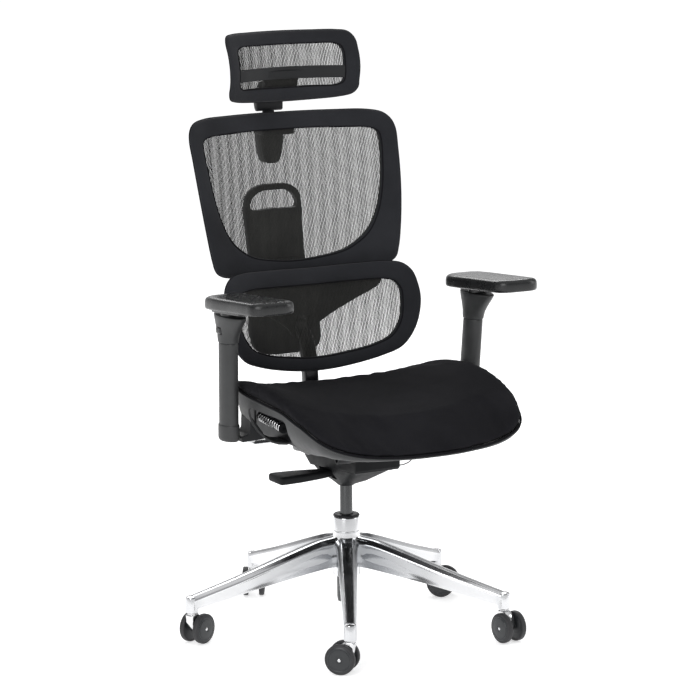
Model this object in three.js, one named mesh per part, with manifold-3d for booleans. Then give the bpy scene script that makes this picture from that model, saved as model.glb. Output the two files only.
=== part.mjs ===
// Swivel office chair with a mesh back, a split lumbar panel, a headrest and adjustable arms.
// Millimetres, +Z up. The sitter faces -Y and +X is the sitter's left. The origin is on the floor
// under the gas column.
import * as THREE from 'three';
import { mergeVertices } from 'three/addons/utils/BufferGeometryUtils.js';
import Module from 'manifold-3d';

const wasm = await Module();
wasm.setup();

// ---- Driving dimensions -------------------------------------------------------------------
const GAP = 0.4; // clearance between neighbouring pieces

// Five-leg base and casters
const LEG_COUNT = 5;
const FIRST_LEG = -27; // degrees from the front, towards the sitter's left
const STEM_RADIUS = 325; // circle of the caster stems
const HUB_RADIUS = 26;
const HUB_BOTTOM = 113;
const HUB_TOP = 233;
const SOCKET_RADIUS = 12.5;
const SOCKET_BOTTOM = 64;
const SOCKET_TOP = 97.5;
const WHEEL_RADIUS = 30;
const WHEEL_WIDTH = 12;
const WHEEL_SIDES = 20;
const WHEEL_INNER = 11.2; // distance from the caster's middle to a wheel's inner face
const TRAIL = 16; // wheel axle behind the swivel stem
const CASTER_HEADINGS = [136, 277, 311, 62, 26]; // degrees from +X to each caster's trail

// Column
const TUBE_RADIUS = 20;
const TUBE_BOTTOM = 59;
const PISTON_RADIUS = 12.5;

// Mechanism
const HOUSING_HALF = 50;
const HOUSING_FRONT = -135;
const HOUSING_BACK = 88;
const BRIDGE_FRONT = 98; // cross bar of the back upright, clear of the housing as it reclines
const HOUSING_TOP = 386;
const HOUSING_REAR_TOP = 379; // the top falls to the rear so that the seat can tilt
const COVER_BOTTOM = 298;
const SEAT_PIVOT = { y: -105, z: 378 };
const BACK_PIVOT = { y: 45, z: 370 };

// Seat
const SEAT_HALF = 246;
const SEAT_REAR = 122;
const SEAT_FRONT = -357;
const PAN_FLOOR = 402;

// Arms
const POST = { x: 268, y: -20, z: 420, top: 616 };
const ARM_LEAN = new THREE.Vector3(0.0297, -0.0765, 1).normalize();
const PAD = { half: 47, rear: 12, front: -234, thick: 25 };
const PAD_TILT = 0.071;

// Back
const FRAME_DEPTH = 13;
const SPINE_DEPTH = 15;

// Materials
const finish = (color, roughness, metalness) =>
  new THREE.MeshStandardMaterial({ color, roughness, metalness });
const polished = finish(0xd6d7d9, 0.08, 1);
const steel = finish(0x9a9da1, 0.3, 1);
const plastic = finish(0x37393c, 0.5, 0);
const glossBlack = finish(0x101113, 0.18, 0);
const padSkin = finish(0x303235, 0.62, 0);
const fabric = finish(0x18181b, 0.95, 0);
const mesh = finish(0x55565a, 0.9, 0);
const wheelPlastic = finish(0x2e3034, 0.35, 0);

const chair = new THREE.Group();

// ---- Geometry helpers ---------------------------------------------------------------------
const lerp = THREE.MathUtils.lerp;
const rad = THREE.MathUtils.degToRad;

// Piecewise linear value from [position, value] pairs in rising order of position.
function table(pairs, at) {
  if (at <= pairs[0][0]) return pairs[0][1];
  for (let i = 1; i < pairs.length; i += 1) {
    const [a, va] = pairs[i - 1];
    const [b, vb] = pairs[i];
    if (at <= b) return lerp(va, vb, (at - a) / (b - a));
  }
  return pairs[pairs.length - 1][1];
}

// Closed outline of count evenly spaced points through a smooth curve. half holds the right side
// of a mirrored shape, from its middle at one end to its middle at the other.
function mirrored(half, count) {
  const left = half.slice(1, -1).reverse().map(([u, v]) => [-u, v]);
  const points = [...half, ...left].map(([u, v]) => new THREE.Vector3(u, v, 0));
  const curve = new THREE.CatmullRomCurve3(points, true, 'centripetal');
  return curve.getSpacedPoints(count).slice(0, count).map((p) => [p.x, p.y]);
}

// Scale an outline about a point.
function scaled(outline, k, centre = [0, 0]) {
  return outline.map(([u, v]) => [lerp(centre[0], u, k), lerp(centre[1], v, k)]);
}

// Rectangle outline with rounded corners, its sides given as lows and highs.
function roundedBox(u0, u1, v0, v1, radius, perCorner = 4) {
  const corners = [
    [u1 - radius, v1 - radius, 0],
    [u0 + radius, v1 - radius, 90],
    [u0 + radius, v0 + radius, 180],
    [u1 - radius, v0 + radius, 270],
  ];
  return corners.flatMap(([cu, cv, start]) =>
    Array.from({ length: perCorner }, (_, i) => {
      const a = rad(start + (90 * i) / (perCorner - 1));
      return [cu + radius * Math.cos(a), cv + radius * Math.sin(a)];
    }));
}

function oval(cu, cv, ru, rv, count = 24) {
  return Array.from({ length: count }, (_, i) => {
    const a = (2 * Math.PI * i) / count;
    return [cu + ru * Math.cos(a), cv + rv * Math.sin(a)];
  });
}

// Closed surface from loops of [x, y, z] points. Each loop is joined to the next. Either the last
// joins the first, as in a ring, or both ends are closed with a fan.
function loft(loops, ring = false) {
  const n = loops[0].length;
  const positions = loops.flat(2);
  const index = [];
  const bands = ring ? loops.length : loops.length - 1;
  for (let b = 0; b < bands; b += 1) {
    const next = (b + 1) % loops.length;
    for (let i = 0; i < n; i += 1) {
      const j = (i + 1) % n;
      index.push(b * n + i, b * n + j, next * n + j);
      index.push(b * n + i, next * n + j, next * n + i);
    }
  }
  if (!ring) {
    [0, loops.length - 1].forEach((which, end) => {
      const middle = [0, 1, 2].map((k) => loops[which].reduce((s, p) => s + p[k], 0) / n);
      const centre = positions.push(...middle) / 3 - 1;
      for (let i = 0; i < n; i += 1) {
        const j = (i + 1) % n;
        const pair = end ? [which * n + i, which * n + j] : [which * n + j, which * n + i];
        index.push(...pair, centre);
      }
    });
  }
  const geometry = new THREE.BufferGeometry();
  geometry.setAttribute('position', new THREE.Float32BufferAttribute(positions, 3));
  geometry.setIndex(index);
  return outward(geometry);
}

// Turn every face over when the surface encloses a negative volume.
function outward(geometry) {
  const p = geometry.getAttribute('position');
  const index = geometry.getIndex().array;
  const a = new THREE.Vector3();
  const b = new THREE.Vector3();
  const c = new THREE.Vector3();
  let volume = 0;
  for (let i = 0; i < index.length; i += 3) {
    a.fromBufferAttribute(p, index[i]);
    b.fromBufferAttribute(p, index[i + 1]);
    c.fromBufferAttribute(p, index[i + 2]);
    volume += a.dot(b.cross(c));
  }
  if (volume < 0) {
    for (let i = 0; i < index.length; i += 3) {
      [index[i + 1], index[i + 2]] = [index[i + 2], index[i + 1]];
    }
  }
  return geometry;
}

// Loops that lie flat, upright facing front, or square across the sitter.
const flat = (outline, z) => outline.map(([x, y]) => [x, y, z]);
const upright = (outline, depth) => outline.map(([x, z]) => [x, depth(x, z), z]);
const across = (outline, x) => outline.map(([y, z]) => [x, y, z]);

function toSolid(geometry) {
  const bare = geometry.clone();
  bare.deleteAttribute('normal');
  bare.deleteAttribute('uv');
  const merged = mergeVertices(bare, 1e-4);
  return new wasm.Manifold(new wasm.Mesh({
    numProp: 3,
    vertProperties: new Float32Array(merged.getAttribute('position').array),
    triVerts: new Uint32Array(merged.getIndex().array),
  }));
}

function toGeometry(solid) {
  const out = solid.getMesh();
  const geometry = new THREE.BufferGeometry();
  geometry.setAttribute('position', new THREE.BufferAttribute(out.vertProperties, 3));
  geometry.setIndex(new THREE.BufferAttribute(out.triVerts, 1));
  return geometry;
}

function join(...parts) {
  return toGeometry(parts.map(toSolid).reduce((sum, part) => sum.add(part)));
}

function cut(body, ...tools) {
  return toGeometry(tools.map(toSolid).reduce((sum, tool) => sum.subtract(tool), toSolid(body)));
}

function box(x0, x1, y0, y1, z0, z1) {
  const geometry = new THREE.BoxGeometry(x1 - x0, y1 - y0, z1 - z0);
  return geometry.translate((x0 + x1) / 2, (y0 + y1) / 2, (z0 + z1) / 2);
}

// Cylinder between two points.
function rod(from, to, radius, sides = 16) {
  const a = new THREE.Vector3(...from);
  const b = new THREE.Vector3(...to);
  const geometry = new THREE.CylinderGeometry(radius, radius, a.distanceTo(b), sides);
  const turn = new THREE.Quaternion();
  turn.setFromUnitVectors(new THREE.Vector3(0, 1, 0), b.clone().sub(a).normalize());
  geometry.applyQuaternion(turn);
  return geometry.translate(...a.add(b).multiplyScalar(0.5).toArray());
}

// Body of revolution about Z from [radius, z] pairs.
function turned(profile, sides = 20) {
  const points = profile.map(([r, z]) => new THREE.Vector2(r, z));
  const geometry = new THREE.LatheGeometry(points, sides);
  geometry.rotateX(Math.PI / 2);
  geometry.deleteAttribute('normal');
  geometry.deleteAttribute('uv');
  return outward(mergeVertices(geometry, 1e-4));
}

// Tube or sleeve about Z.
function sleeve(inner, outer, z0, z1, sides = 24) {
  return turned([[inner, z0], [outer, z0], [outer, z1], [inner, z1], [inner, z0]], sides);
}

// Bar of a constant oblong section swept along a curve in the YZ plane.
function sweptBar(points, halfWidth, halfDepth, steps) {
  const path = new THREE.CatmullRomCurve3(points.map(([y, z]) => new THREE.Vector3(0, y, z)));
  const section = roundedBox(-halfWidth, halfWidth, -halfDepth, halfDepth, halfDepth * 0.45, 3);
  const loops = [];
  for (let i = 0; i <= steps; i += 1) {
    const at = path.getPointAt(i / steps);
    const along = path.getTangentAt(i / steps);
    loops.push(section.map(([x, d]) => [x, at.y + d * along.z, at.z - d * along.y]));
  }
  return loft(loops);
}

function add(name, geometry, material) {
  const piece = new THREE.Mesh(geometry, material);
  piece.name = name;
  chair.add(piece);
  return piece;
}

const sides = [['left', 1], ['right', -1]];

// ---- Star base ----------------------------------------------------------------------------
// Section of a leg across its length: flat ridge, rounded shoulders and sides that lean inward.
function legSection(r, inset = 0) {
  const t = (r - HUB_RADIUS) / (STEM_RADIUS - HUB_RADIUS);
  const top = lerp(193, SOCKET_TOP, t) - inset * 1.5;
  const depth = lerp(60, 30, t) - (inset ? -20 : 0);
  const ridge = lerp(12, 7, t) - inset;
  const wide = lerp(21, 12.5, t) - inset;
  const foot = lerp(16, 10, t) - inset;
  return [
    [-ridge, top], [ridge, top], [ridge + 3, top - 1.5], [wide, top - 8],
    [wide - 1, top - depth * 0.5], [foot, top - depth],
    [-foot, top - depth], [-wide + 1, top - depth * 0.5], [-wide, top - 8], [-ridge - 3, top - 1.5],
  ].map(([w, z]) => [r, w, z]);
}

function legDirection(index) {
  const a = rad(FIRST_LEG + (index * 360) / LEG_COUNT);
  return [Math.sin(a), -Math.cos(a)];
}

function starBase() {
  const legs = [];
  const hollows = [];
  for (let i = 0; i < LEG_COUNT; i += 1) {
    const [dx, dy] = legDirection(i);
    const turn = Math.atan2(dy, dx);
    const leg = loft([10, 120, 220, STEM_RADIUS - 2].map((r) => legSection(r)));
    const hollow = loft([34, 290].map((r) => legSection(r, 4)));
    legs.push(leg.rotateZ(turn));
    hollows.push(hollow.rotateZ(turn));
    const at = [dx * STEM_RADIUS, dy * STEM_RADIUS];
    legs.push(turned([[0, SOCKET_BOTTOM], [SOCKET_RADIUS, SOCKET_BOTTOM],
      [SOCKET_RADIUS, SOCKET_TOP - 3], [SOCKET_RADIUS - 3, SOCKET_TOP], [0, SOCKET_TOP]], 16)
      .translate(...at, 0));
    hollows.push(rod([...at, SOCKET_BOTTOM - 1], [...at, SOCKET_TOP - 5], 5.6, 12));
  }
  const hub = turned([[0, HUB_BOTTOM], [HUB_RADIUS + 1, HUB_BOTTOM], [HUB_RADIUS + 2, 190],
    [HUB_RADIUS, 200], [HUB_RADIUS, HUB_TOP], [0, HUB_TOP]], 24);
  const bore = rod([0, 0, 40], [0, 0, HUB_TOP + 10], TUBE_RADIUS + GAP, 24);
  return cut(join(hub, ...legs), bore, ...hollows);
}
add('star_base', starBase(), polished);

// ---- Casters ------------------------------------------------------------------------------
// A wheel stands with its axle along local X. side is +1 or -1.
function casterWheel(side) {
  const tread = WHEEL_RADIUS / Math.cos(Math.PI / WHEEL_SIDES);
  const profile = [
    [3.3, 0], [tread - 2, 0], [tread, 2.5], [tread, 8.5],
    [tread - 3, WHEEL_WIDTH - 1], [3.3, WHEEL_WIDTH + 1.2], [3.3, 0],
  ];
  const wheel = turned(profile, WHEEL_SIDES).rotateZ(Math.PI / WHEEL_SIDES);
  wheel.rotateY((side * Math.PI) / 2);
  return wheel.translate(side * WHEEL_INNER, 0, 0);
}

// Hood over the wheels with its stem and the pressed axle; local +Y is the trail.
function casterFork() {
  const hood = new THREE.Shape();
  hood.moveTo(-TRAIL - 9, 32);
  hood.lineTo(-TRAIL - 9, 12);
  hood.quadraticCurveTo(-TRAIL - 6, -4, -6, -8);
  hood.lineTo(7, -7);
  hood.lineTo(9, 4);
  hood.quadraticCurveTo(8, 24, -TRAIL + 9, 32);
  hood.closePath();
  const body = new THREE.ExtrudeGeometry(hood, { depth: 18, bevelEnabled: false, curveSegments: 5 });
  body.rotateY(Math.PI / 2).rotateX(Math.PI / 2).translate(-9, 0, 0);
  const axle = rod([-WHEEL_INNER - WHEEL_WIDTH, 0, 0], [WHEEL_INNER + WHEEL_WIDTH, 0, 0], 3, 12);
  const stem = rod([0, -TRAIL, 26], [0, -TRAIL, SOCKET_TOP - 7 - WHEEL_RADIUS], 5, 12);
  return join(body, axle, stem);
}

for (let i = 0; i < LEG_COUNT; i += 1) {
  const [dx, dy] = legDirection(i);
  const caster = new THREE.Group();
  caster.position.set(dx * STEM_RADIUS, dy * STEM_RADIUS, WHEEL_RADIUS);
  caster.rotation.z = rad(CASTER_HEADINGS[i] - 90);
  const axle = new THREE.Group();
  axle.position.y = TRAIL;
  caster.add(axle);
  axle.add(add(`caster_${i + 1}_fork`, casterFork(), polished));
  axle.add(add(`caster_${i + 1}_wheel_a`, casterWheel(1), wheelPlastic));
  axle.add(add(`caster_${i + 1}_wheel_b`, casterWheel(-1), wheelPlastic));
  chair.add(caster);
}

// ---- Column -------------------------------------------------------------------------------
add('column_outer_tube', turned([[6, TUBE_BOTTOM], [TUBE_RADIUS - 1.5, TUBE_BOTTOM],
  [TUBE_RADIUS, 70], [TUBE_RADIUS, HUB_TOP], [TUBE_RADIUS - 1.5, HUB_TOP],
  [TUBE_RADIUS - 1.5, TUBE_BOTTOM + 3], [6, TUBE_BOTTOM + 3], [6, TUBE_BOTTOM]]), steel);
add('column_collar', turned([[PISTON_RADIUS + 1, HUB_TOP + GAP], [25, HUB_TOP + GAP],
  [26.5, HUB_TOP + 2], [25, HUB_TOP + 5], [PISTON_RADIUS + 3, HUB_TOP + 6],
  [PISTON_RADIUS + 1, HUB_TOP + 6], [PISTON_RADIUS + 1, HUB_TOP + GAP]], 28), plastic);
add('column_guide_bushing', sleeve(PISTON_RADIUS + GAP, TUBE_RADIUS - 1.9, 140, 226, 20), plastic);
add('thrust_bearing', sleeve(5.2, 13, TUBE_BOTTOM + 3.4, TUBE_BOTTOM + 10, 20), steel);
add('piston_rod', turned([[0, 54], [8, 54], [8, TUBE_BOTTOM - 1], [4.6, TUBE_BOTTOM - 1],
  [4.6, TUBE_BOTTOM + 10.4], [7, TUBE_BOTTOM + 10.4], [7, TUBE_BOTTOM + 13],
  [4.6, TUBE_BOTTOM + 13], [4.6, 228], [0, 228]], 16), steel);
add('gas_cylinder', turned([[6, 150], [PISTON_RADIUS, 150], [PISTON_RADIUS, 352], [6, 352],
  [6, 345], [2, 345], [2, 335], [6, 335], [6, 150]], 24), steel);

// ---- Mechanism ----------------------------------------------------------------------------
const housingFloor = (y) => lerp(349, 332, THREE.MathUtils.clamp((y + 135) / 195, 0, 1));

function mechanismHousing() {
  const profile = [
    [HOUSING_FRONT + 4, HOUSING_TOP], [HOUSING_FRONT, HOUSING_TOP - 5], [HOUSING_FRONT, 352],
    [HOUSING_FRONT + 5, housingFloor(HOUSING_FRONT)], [60, housingFloor(60)],
    [HOUSING_BACK - 8, 344], [HOUSING_BACK, 352], [HOUSING_BACK, HOUSING_REAR_TOP],
    [BACK_PIVOT.y - 10, HOUSING_REAR_TOP], [SEAT_PIVOT.y + 20, HOUSING_TOP],
  ];
  const block = loft([across(profile, -HOUSING_HALF), across(profile, HOUSING_HALF)]);
  const hollow = box(-HOUSING_HALF + 4, HOUSING_HALF - 4, HOUSING_FRONT + 5, HOUSING_BACK - 5,
    356, HOUSING_TOP + 10);
  const bore = rod([0, 0, 320], [0, 0, 400], PISTON_RADIUS + GAP, 24);
  const holes = [SEAT_PIVOT, BACK_PIVOT].map((p) => rod([-80, p.y, p.z], [80, p.y, p.z], 5.2, 14));
  return cut(block, hollow, bore, ...holes);
}
add('mechanism_housing', mechanismHousing(), plastic);

const LEVER_AXIS = { x: 42, z: 326 };
function mechanismCover() {
  const slope = (outline) => outline.map(([x, y]) => [x, y, housingFloor(y) - GAP]);
  const rim = roundedBox(-47, 47, -122, 58, 14);
  const waist = roundedBox(-44, 44, -96, 50, 20);
  const keel = roundedBox(-30, 30, -50, 38, 20);
  const foot = roundedBox(-18, 18, -18, 18, 17.9);
  const hull = loft([slope(rim), waist.map(([x, y]) => [x, y, housingFloor(y) - 9]),
    flat(keel, 312), flat(foot, COVER_BOTTOM)]);
  const bore = rod([0, 0, 280], [0, 0, 360], PISTON_RADIUS + GAP, 24);
  const pockets = sides.map(([, s]) => box(...[s * 27, s * 60].sort((a, b) => a - b),
    -26, 26, 316, 337));
  return cut(hull, bore, ...pockets);
}
add('mechanism_cover', mechanismCover(), plastic);

add('seat_pivot_pin', rod([-60, SEAT_PIVOT.y, SEAT_PIVOT.z], [60, SEAT_PIVOT.y, SEAT_PIVOT.z], 4.8, 14),
  steel);
add('back_pivot_pin', rod([-66, BACK_PIVOT.y, BACK_PIVOT.z], [66, BACK_PIVOT.y, BACK_PIVOT.z], 4.8, 14),
  steel);
add('release_pin', rod([0, 0, 349], [0, 0, 364], 3.5, 12), steel);

// Height lever: a flared paddle. Tilt lock: a thinner wing on the other side.
function paddle(s, length, halfWidth, halfThick) {
  const stations = [[30, 0.42, 0.8], [40, 0.42, 0.85], [58, 0.62, 0.9], [length * 0.7, 0.95, 1],
    [length - 5, 1.08, 1], [length, 0.92, 0.7]];
  return loft(stations.map(([x, w, t]) => across(roundedBox(-halfWidth * w - 2, halfWidth * w - 2,
    LEVER_AXIS.z - halfThick * t, LEVER_AXIS.z + halfThick * t, halfThick * t * 0.6), s * x)));
}
add('height_lever', paddle(-1, 161, 27, 8.5), plastic);
add('tilt_lock_lever', paddle(1, 96, 24, 4.5), plastic);

// Spring packs that balance the tilt, one beside each flank of the housing.
const SPRING = { x: 165, y0: -54, y1: 45, z: 438, rise: 8, radius: 10.5 };
sides.forEach(([name, s]) => {
  add(`tilt_spring_${name}`, rod([s * SPRING.x, SPRING.y0, SPRING.z],
    [s * SPRING.x, SPRING.y1, SPRING.z + SPRING.rise], SPRING.radius, 14), polished);
});

// ---- Seat ---------------------------------------------------------------------------------
const SEAT_POINTS = 40;
const seatOutline = mirrored([[0, SEAT_REAR], [110, SEAT_REAR], [190, 104], [228, 60], [243, 0],
  [SEAT_HALF, -100], [245, -200], [238, -270], [215, -324], [160, -350], [80, SEAT_FRONT],
  [0, SEAT_FRONT]], SEAT_POINTS);
const SEAT_MIDDLE = [0, -110];

// Height of the seam line between cushion and pan, and of the crown of the cushion.
const seamSide = [[-357, 450], [-266, 485], [-193, 504], [-44, 512], [0, 518], [60, 515], [122, 505]];
const seamMiddle = [[-357, 424], [-250, 440], [-100, 460], [122, 478]];
const crownSide = [[-357, 460], [-314, 484], [-279, 502], [-228, 519], [-170, 534], [-93, 543],
  [8, 536], [60, 529], [122, 516]];
const crownMiddle = [[-357, 430], [-335, 458], [-300, 478], [-240, 488], [-100, 490], [40, 493],
  [122, 499]];
const sideways = (x) => Math.min(1, Math.abs(x) / 235) ** 2.2;
const seam = (x, y) => lerp(table(seamMiddle, y), table(seamSide, y), sideways(x));
const crown = (x, y) => lerp(table(crownMiddle, y), table(crownSide, y), sideways(x));

function seatCushion() {
  const on = (k, height) => scaled(seatOutline, k, SEAT_MIDDLE).map(([x, y]) => [x, y, height(x, y)]);
  const floor = (x, y) => seam(x, y) - 4;
  return loft([
    on(0.5, floor), on(0.9, floor), on(0.985, seam),
    on(1, (x, y) => lerp(seam(x, y), crown(x, y), 0.45)),
    on(0.985, (x, y) => lerp(seam(x, y), crown(x, y), 0.85)),
    on(0.93, crown), on(0.8, crown), on(0.6, crown), on(0.38, crown), on(0.18, crown),
  ]);
}
add('seat_cushion', seatCushion(), fabric);

// Moulded pan under the cushion: a bowl with side windows, open behind for the back upright.
function seatPan() {
  const base = roundedBox(-112, 112, -250, 66, 40, 14);
  const order = seatOutline.map(([x, y]) => {
    const at = Math.atan2(y - SEAT_MIDDLE[1], x);
    return base.reduce((best, p) => {
      const gap = Math.abs(Math.atan2(Math.sin(Math.atan2(p[1] - SEAT_MIDDLE[1], p[0]) - at),
        Math.cos(Math.atan2(p[1] - SEAT_MIDDLE[1], p[0]) - at)));
      return gap < best.gap ? { gap, p } : best;
    }, { gap: 9, p: null }).p;
  });
  const skin = (out, drop, thick) => seatOutline.map(([x, y], i) => {
    const [bx, by] = order[i];
    const k = 0.975;
    const top = seam(x, y) - 5;
    const px = lerp(bx, x * k, out);
    const py = lerp(by, SEAT_MIDDLE[1] + (y - SEAT_MIDDLE[1]) * k, out);
    const inward = thick * (out > 0.3 ? 1 : 0);
    const shrink = 1 - inward / 240;
    return [px * shrink, SEAT_MIDDLE[1] + (py - SEAT_MIDDLE[1]) * shrink,
      lerp(PAN_FLOOR + (out > 0.3 ? thick * 0.4 : thick), top, drop)];
  });
  const bowl = loft([
    skin(0, 0, 0), skin(0.35, 0.06, 0), skin(0.72, 0.3, 0), skin(0.94, 0.62, 0), skin(1, 1, 0),
    skin(1, 1, 4.5), skin(0.94, 0.62, 4.5), skin(0.72, 0.3, 4.5), skin(0.35, 0.06, 4.5), skin(0, 0, 4),
  ]);
  const windows = sides.map(([, s]) => box(...[s * 113, s * 300].sort((a, b) => a - b),
    -205, -42, 380, 486));
  const rears = sides.flatMap(([, s]) => [[8, 56, 490], [55, 150, 468]].map(([y0, y1, top]) =>
    box(...[s * 113, s * 300].sort((a, b) => a - b), y0, y1, 380, top)));
  const behind = box(-140, 140, 70, 200, 380, 462);
  return cut(bowl, ...windows, ...rears, behind);
}
add('seat_pan', seatPan(), plastic);

// Tilting carrier: a front plate with two ears on the pivot, and a rail each side of the housing
// that the pan slides on.
const RAIL = { near: 51, far: 72, front: -128, rear: 20 };
function seatCarrier() {
  const plate = box(-RAIL.far, RAIL.far, RAIL.front, -88, 392, PAN_FLOOR - 1);
  const rails = sides.map(([, s]) => box(...[s * RAIL.near, s * RAIL.far].sort((a, b) => a - b),
    RAIL.front, RAIL.rear, 392, PAN_FLOOR - 1));
  const ears = sides.map(([, s]) => box(...[s * 50.6, s * 57].sort((a, b) => a - b),
    -117, -93, 368, 394));
  const hole = rod([-80, SEAT_PIVOT.y, SEAT_PIVOT.z], [80, SEAT_PIVOT.y, SEAT_PIVOT.z], 5.2, 14);
  return cut(join(plate, ...rails, ...ears), hole);
}
add('seat_carrier', seatCarrier(), steel);

// Seat-depth catch: a short barrel with a hollow end, and its thin control cable.
function slideLever() {
  const barrel = rod([-62, -172, 391], [-112, -172, 391], 8.5, 16);
  const bore = rod([-100, -172, 391], [-120, -172, 391], 5, 12);
  return cut(barrel, bore);
}
add('slide_release_lever', slideLever(), plastic);

const cablePath = new THREE.CatmullRomCurve3([[51, -112, 352], [66, -118, 353], [82, -121, 361],
  [88, -119, 376], [86, -114, 390]].map((p) => new THREE.Vector3(...p)));
const cableSection = new THREE.Shape().absarc(0, 0, 1.3, 0, 2 * Math.PI);
add('slide_cable', new THREE.ExtrudeGeometry(cableSection,
  { steps: 14, extrudePath: cablePath, curveSegments: 4 }), steel);

// ---- Arms ---------------------------------------------------------------------------------
// Point on an arm's leaning axis at a height.
function armAxis(s, z) {
  const t = (z - POST.z) / ARM_LEAN.z;
  return [s * (POST.x + ARM_LEAN.x * t), POST.y + ARM_LEAN.y * t];
}

function armLoop(s, z, rx, ry, shift = 0, count = 18) {
  const [x, y] = armAxis(s, z);
  return flat(oval(x, y + shift, rx, ry, count), z);
}

const padMiddle = (y) => 692.5 - PAD_TILT * y;

function armPad(s) {
  const outline = mirrored([[0, PAD.rear], [24, PAD.rear - 2], [41, PAD.rear - 18],
    [PAD.half, PAD.rear - 52], [PAD.half, -120], [PAD.half, -190], [44, -218], [28, PAD.front + 2],
    [0, PAD.front]], 32).map(([x, y]) => [x + s * POST.x, y]);
  const middle = [s * POST.x, -110];
  const at = (k, lift) => scaled(outline, k, middle).map(([x, y]) => [x, y, padMiddle(y) + lift]);
  const half = PAD.thick / 2;
  return loft([at(0.5, -half), at(0.88, -half), at(1, -half + 6), at(1, half - 9), at(0.965, half - 3),
    at(0.9, half), at(0.5, half)]);
}

sides.forEach(([name, s]) => {
  const span = (a, b) => [s * a, s * b].sort((p, q) => p - q);
  const bracket = [[200, 418], [248.6, 416], [248.6, 428], [236, 431], [230, 463], [203, 431]];
  add(`arm_bracket_${name}`, loft([-40, 4].map((y) => bracket.map(([x, z]) => [s * x, y, z]))),
    plastic);

  const shell = loft([armLoop(s, 420, 17, 27), armLoop(s, 424, 18.5, 29), armLoop(s, 451, 18.5, 29),
    armLoop(s, 453, 17, 28), armLoop(s, 540, 16.6, 27), armLoop(s, POST.top, 16.6, 26.5)]);
  const bore = loft([armLoop(s, 462, 12.4, 22.4), armLoop(s, 640, 12.4, 22.4)]);
  add(`arm_post_${name}`, cut(shell, bore), plastic);

  const stem = loft([armLoop(s, 480, 12, 22), armLoop(s, 622, 12, 22)]);
  const cup = loft([armLoop(s, POST.top + GAP, 18, 28), armLoop(s, 623, 18.6, 28.6),
    armLoop(s, 632, 19, 31, -1), armLoop(s, 652, 21, 44, -5), armLoop(s, 664, 22, 53, -8),
    armLoop(s, 671, 22, 56, -9)]);
  const [bx] = armAxis(s, 641);
  const pocket = box(...span(Math.abs(bx) + 11, Math.abs(bx) + 40), -46, -24, 634, 648);
  add(`arm_head_${name}`, cut(join(stem, cup), pocket), plastic);
  add(`arm_button_${name}`, box(...span(Math.abs(bx) + 16, Math.abs(bx) + 23), -45.4, -24.6,
    634.6, 647.4), glossBlack);

  const [px, py] = armAxis(s, 675);
  const turret = rod([px, py - 10, 671.4], [px, py - 10, 678], 19, 20);
  const plate = loft([-11.8, -4].map((lift, i) => roundedBox(px - 26, px + 26, -150, -8, 16)
    .map(([x, y]) => [x, y, padMiddle(y) - PAD.thick / 2 - (i ? 0.5 : 6)])));
  add(`pad_plate_${name}`, join(turret, plate), glossBlack);
  add(`arm_pad_${name}`, armPad(s), padSkin);
});

// ---- Back ---------------------------------------------------------------------------------
const RING_POINTS = 36;

// A ring-shaped frame and the panel that fills it, both following one curved surface.
function backRing(outer, inner, depth, thick) {
  return loft([
    upright(outer, (x, z) => depth(x, z) + 3), upright(scaled(outer, 0.985, middleOf(outer)), depth),
    upright(inner, depth), upright(inner, (x, z) => depth(x, z) + thick),
    upright(outer, (x, z) => depth(x, z) + thick),
  ], true);
}

function middleOf(outline) {
  return [0, 1].map((k) => outline.reduce((s, p) => s + p[k], 0) / outline.length);
}

function backPanel(inner, depth, from, to) {
  const c = middleOf(inner);
  const at = (k, lift) => upright(scaled(inner, k, c), (x, z) => depth(x, z) + lift);
  return loft([at(0.5, to), at(0.994, to), at(0.994, from), at(0.5, from)]);
}

// Upper back
const upperDepth = (x, z) => 147 + 0.19 * (z - 768) + 0.0004 * (z - 768) ** 2
  + 60 * (1 - (x / 230) ** 2);
const upperOuter = mirrored([[0, 1018], [117, 1018], [186, 1017], [214, 1011], [227, 999],
  [233, 981], [232, 940], [227, 862], [219, 790], [211, 742], [204, 721], [188, 710], [145, 702],
  [80, 696], [0, 692]], RING_POINTS);
const upperInner = mirrored([[0, 984], [125, 983], [186, 980], [197, 974], [200, 960], [197, 920],
  [190, 870], [177, 820], [156, 780], [131, 756], [103, 740], [60, 730], [0, 725]], RING_POINTS);
const bracketSection = roundedBox(-44, 44, 699, 716, 5);
const frameBracket = loft([
  upright(bracketSection, (x, z) => upperDepth(x, z) + FRAME_DEPTH - 4),
  upright(bracketSection, (x, z) => spineDepth(x, z) - 3),
]);
add('upper_frame', join(backRing(upperOuter, upperInner, upperDepth, FRAME_DEPTH), frameBracket),
  fabric);
add('upper_mesh', backPanel(upperInner, upperDepth, 4, 6), mesh);

// Spine panel with its grab handle
function spineDepth(x, z) {
  return table([[525, 244], [709, 288], [816, 308], [870, 304]], z);
}
function spinePanel() {
  const outline = mirrored([[0, 869], [36, 866], [58, 850], [65, 822], [65, 790], [63, 740],
    [64, 690], [70, 640], [78, 600], [80, 565], [74, 541], [58, 529], [30, 525], [0, 525]], 40);
  const front = (x, z) => spineDepth(x, z);
  const back = (x, z) => spineDepth(x, z) + SPINE_DEPTH;
  const slab = loft([upright(scaled(outline, 0.5, [0, 700]), front), upright(outline, front),
    upright(outline, back), upright(scaled(outline, 0.5, [0, 700]), back)]);
  const grip = mirrored([[0, 857], [28, 855], [48, 842], [54, 824], [50, 818], [0, 818]], 24);
  const hole = loft([upright(grip, () => 270), upright(grip, () => 350)]);
  return cut(slab, hole);
}
add('spine_panel', spinePanel(), plastic);

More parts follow.
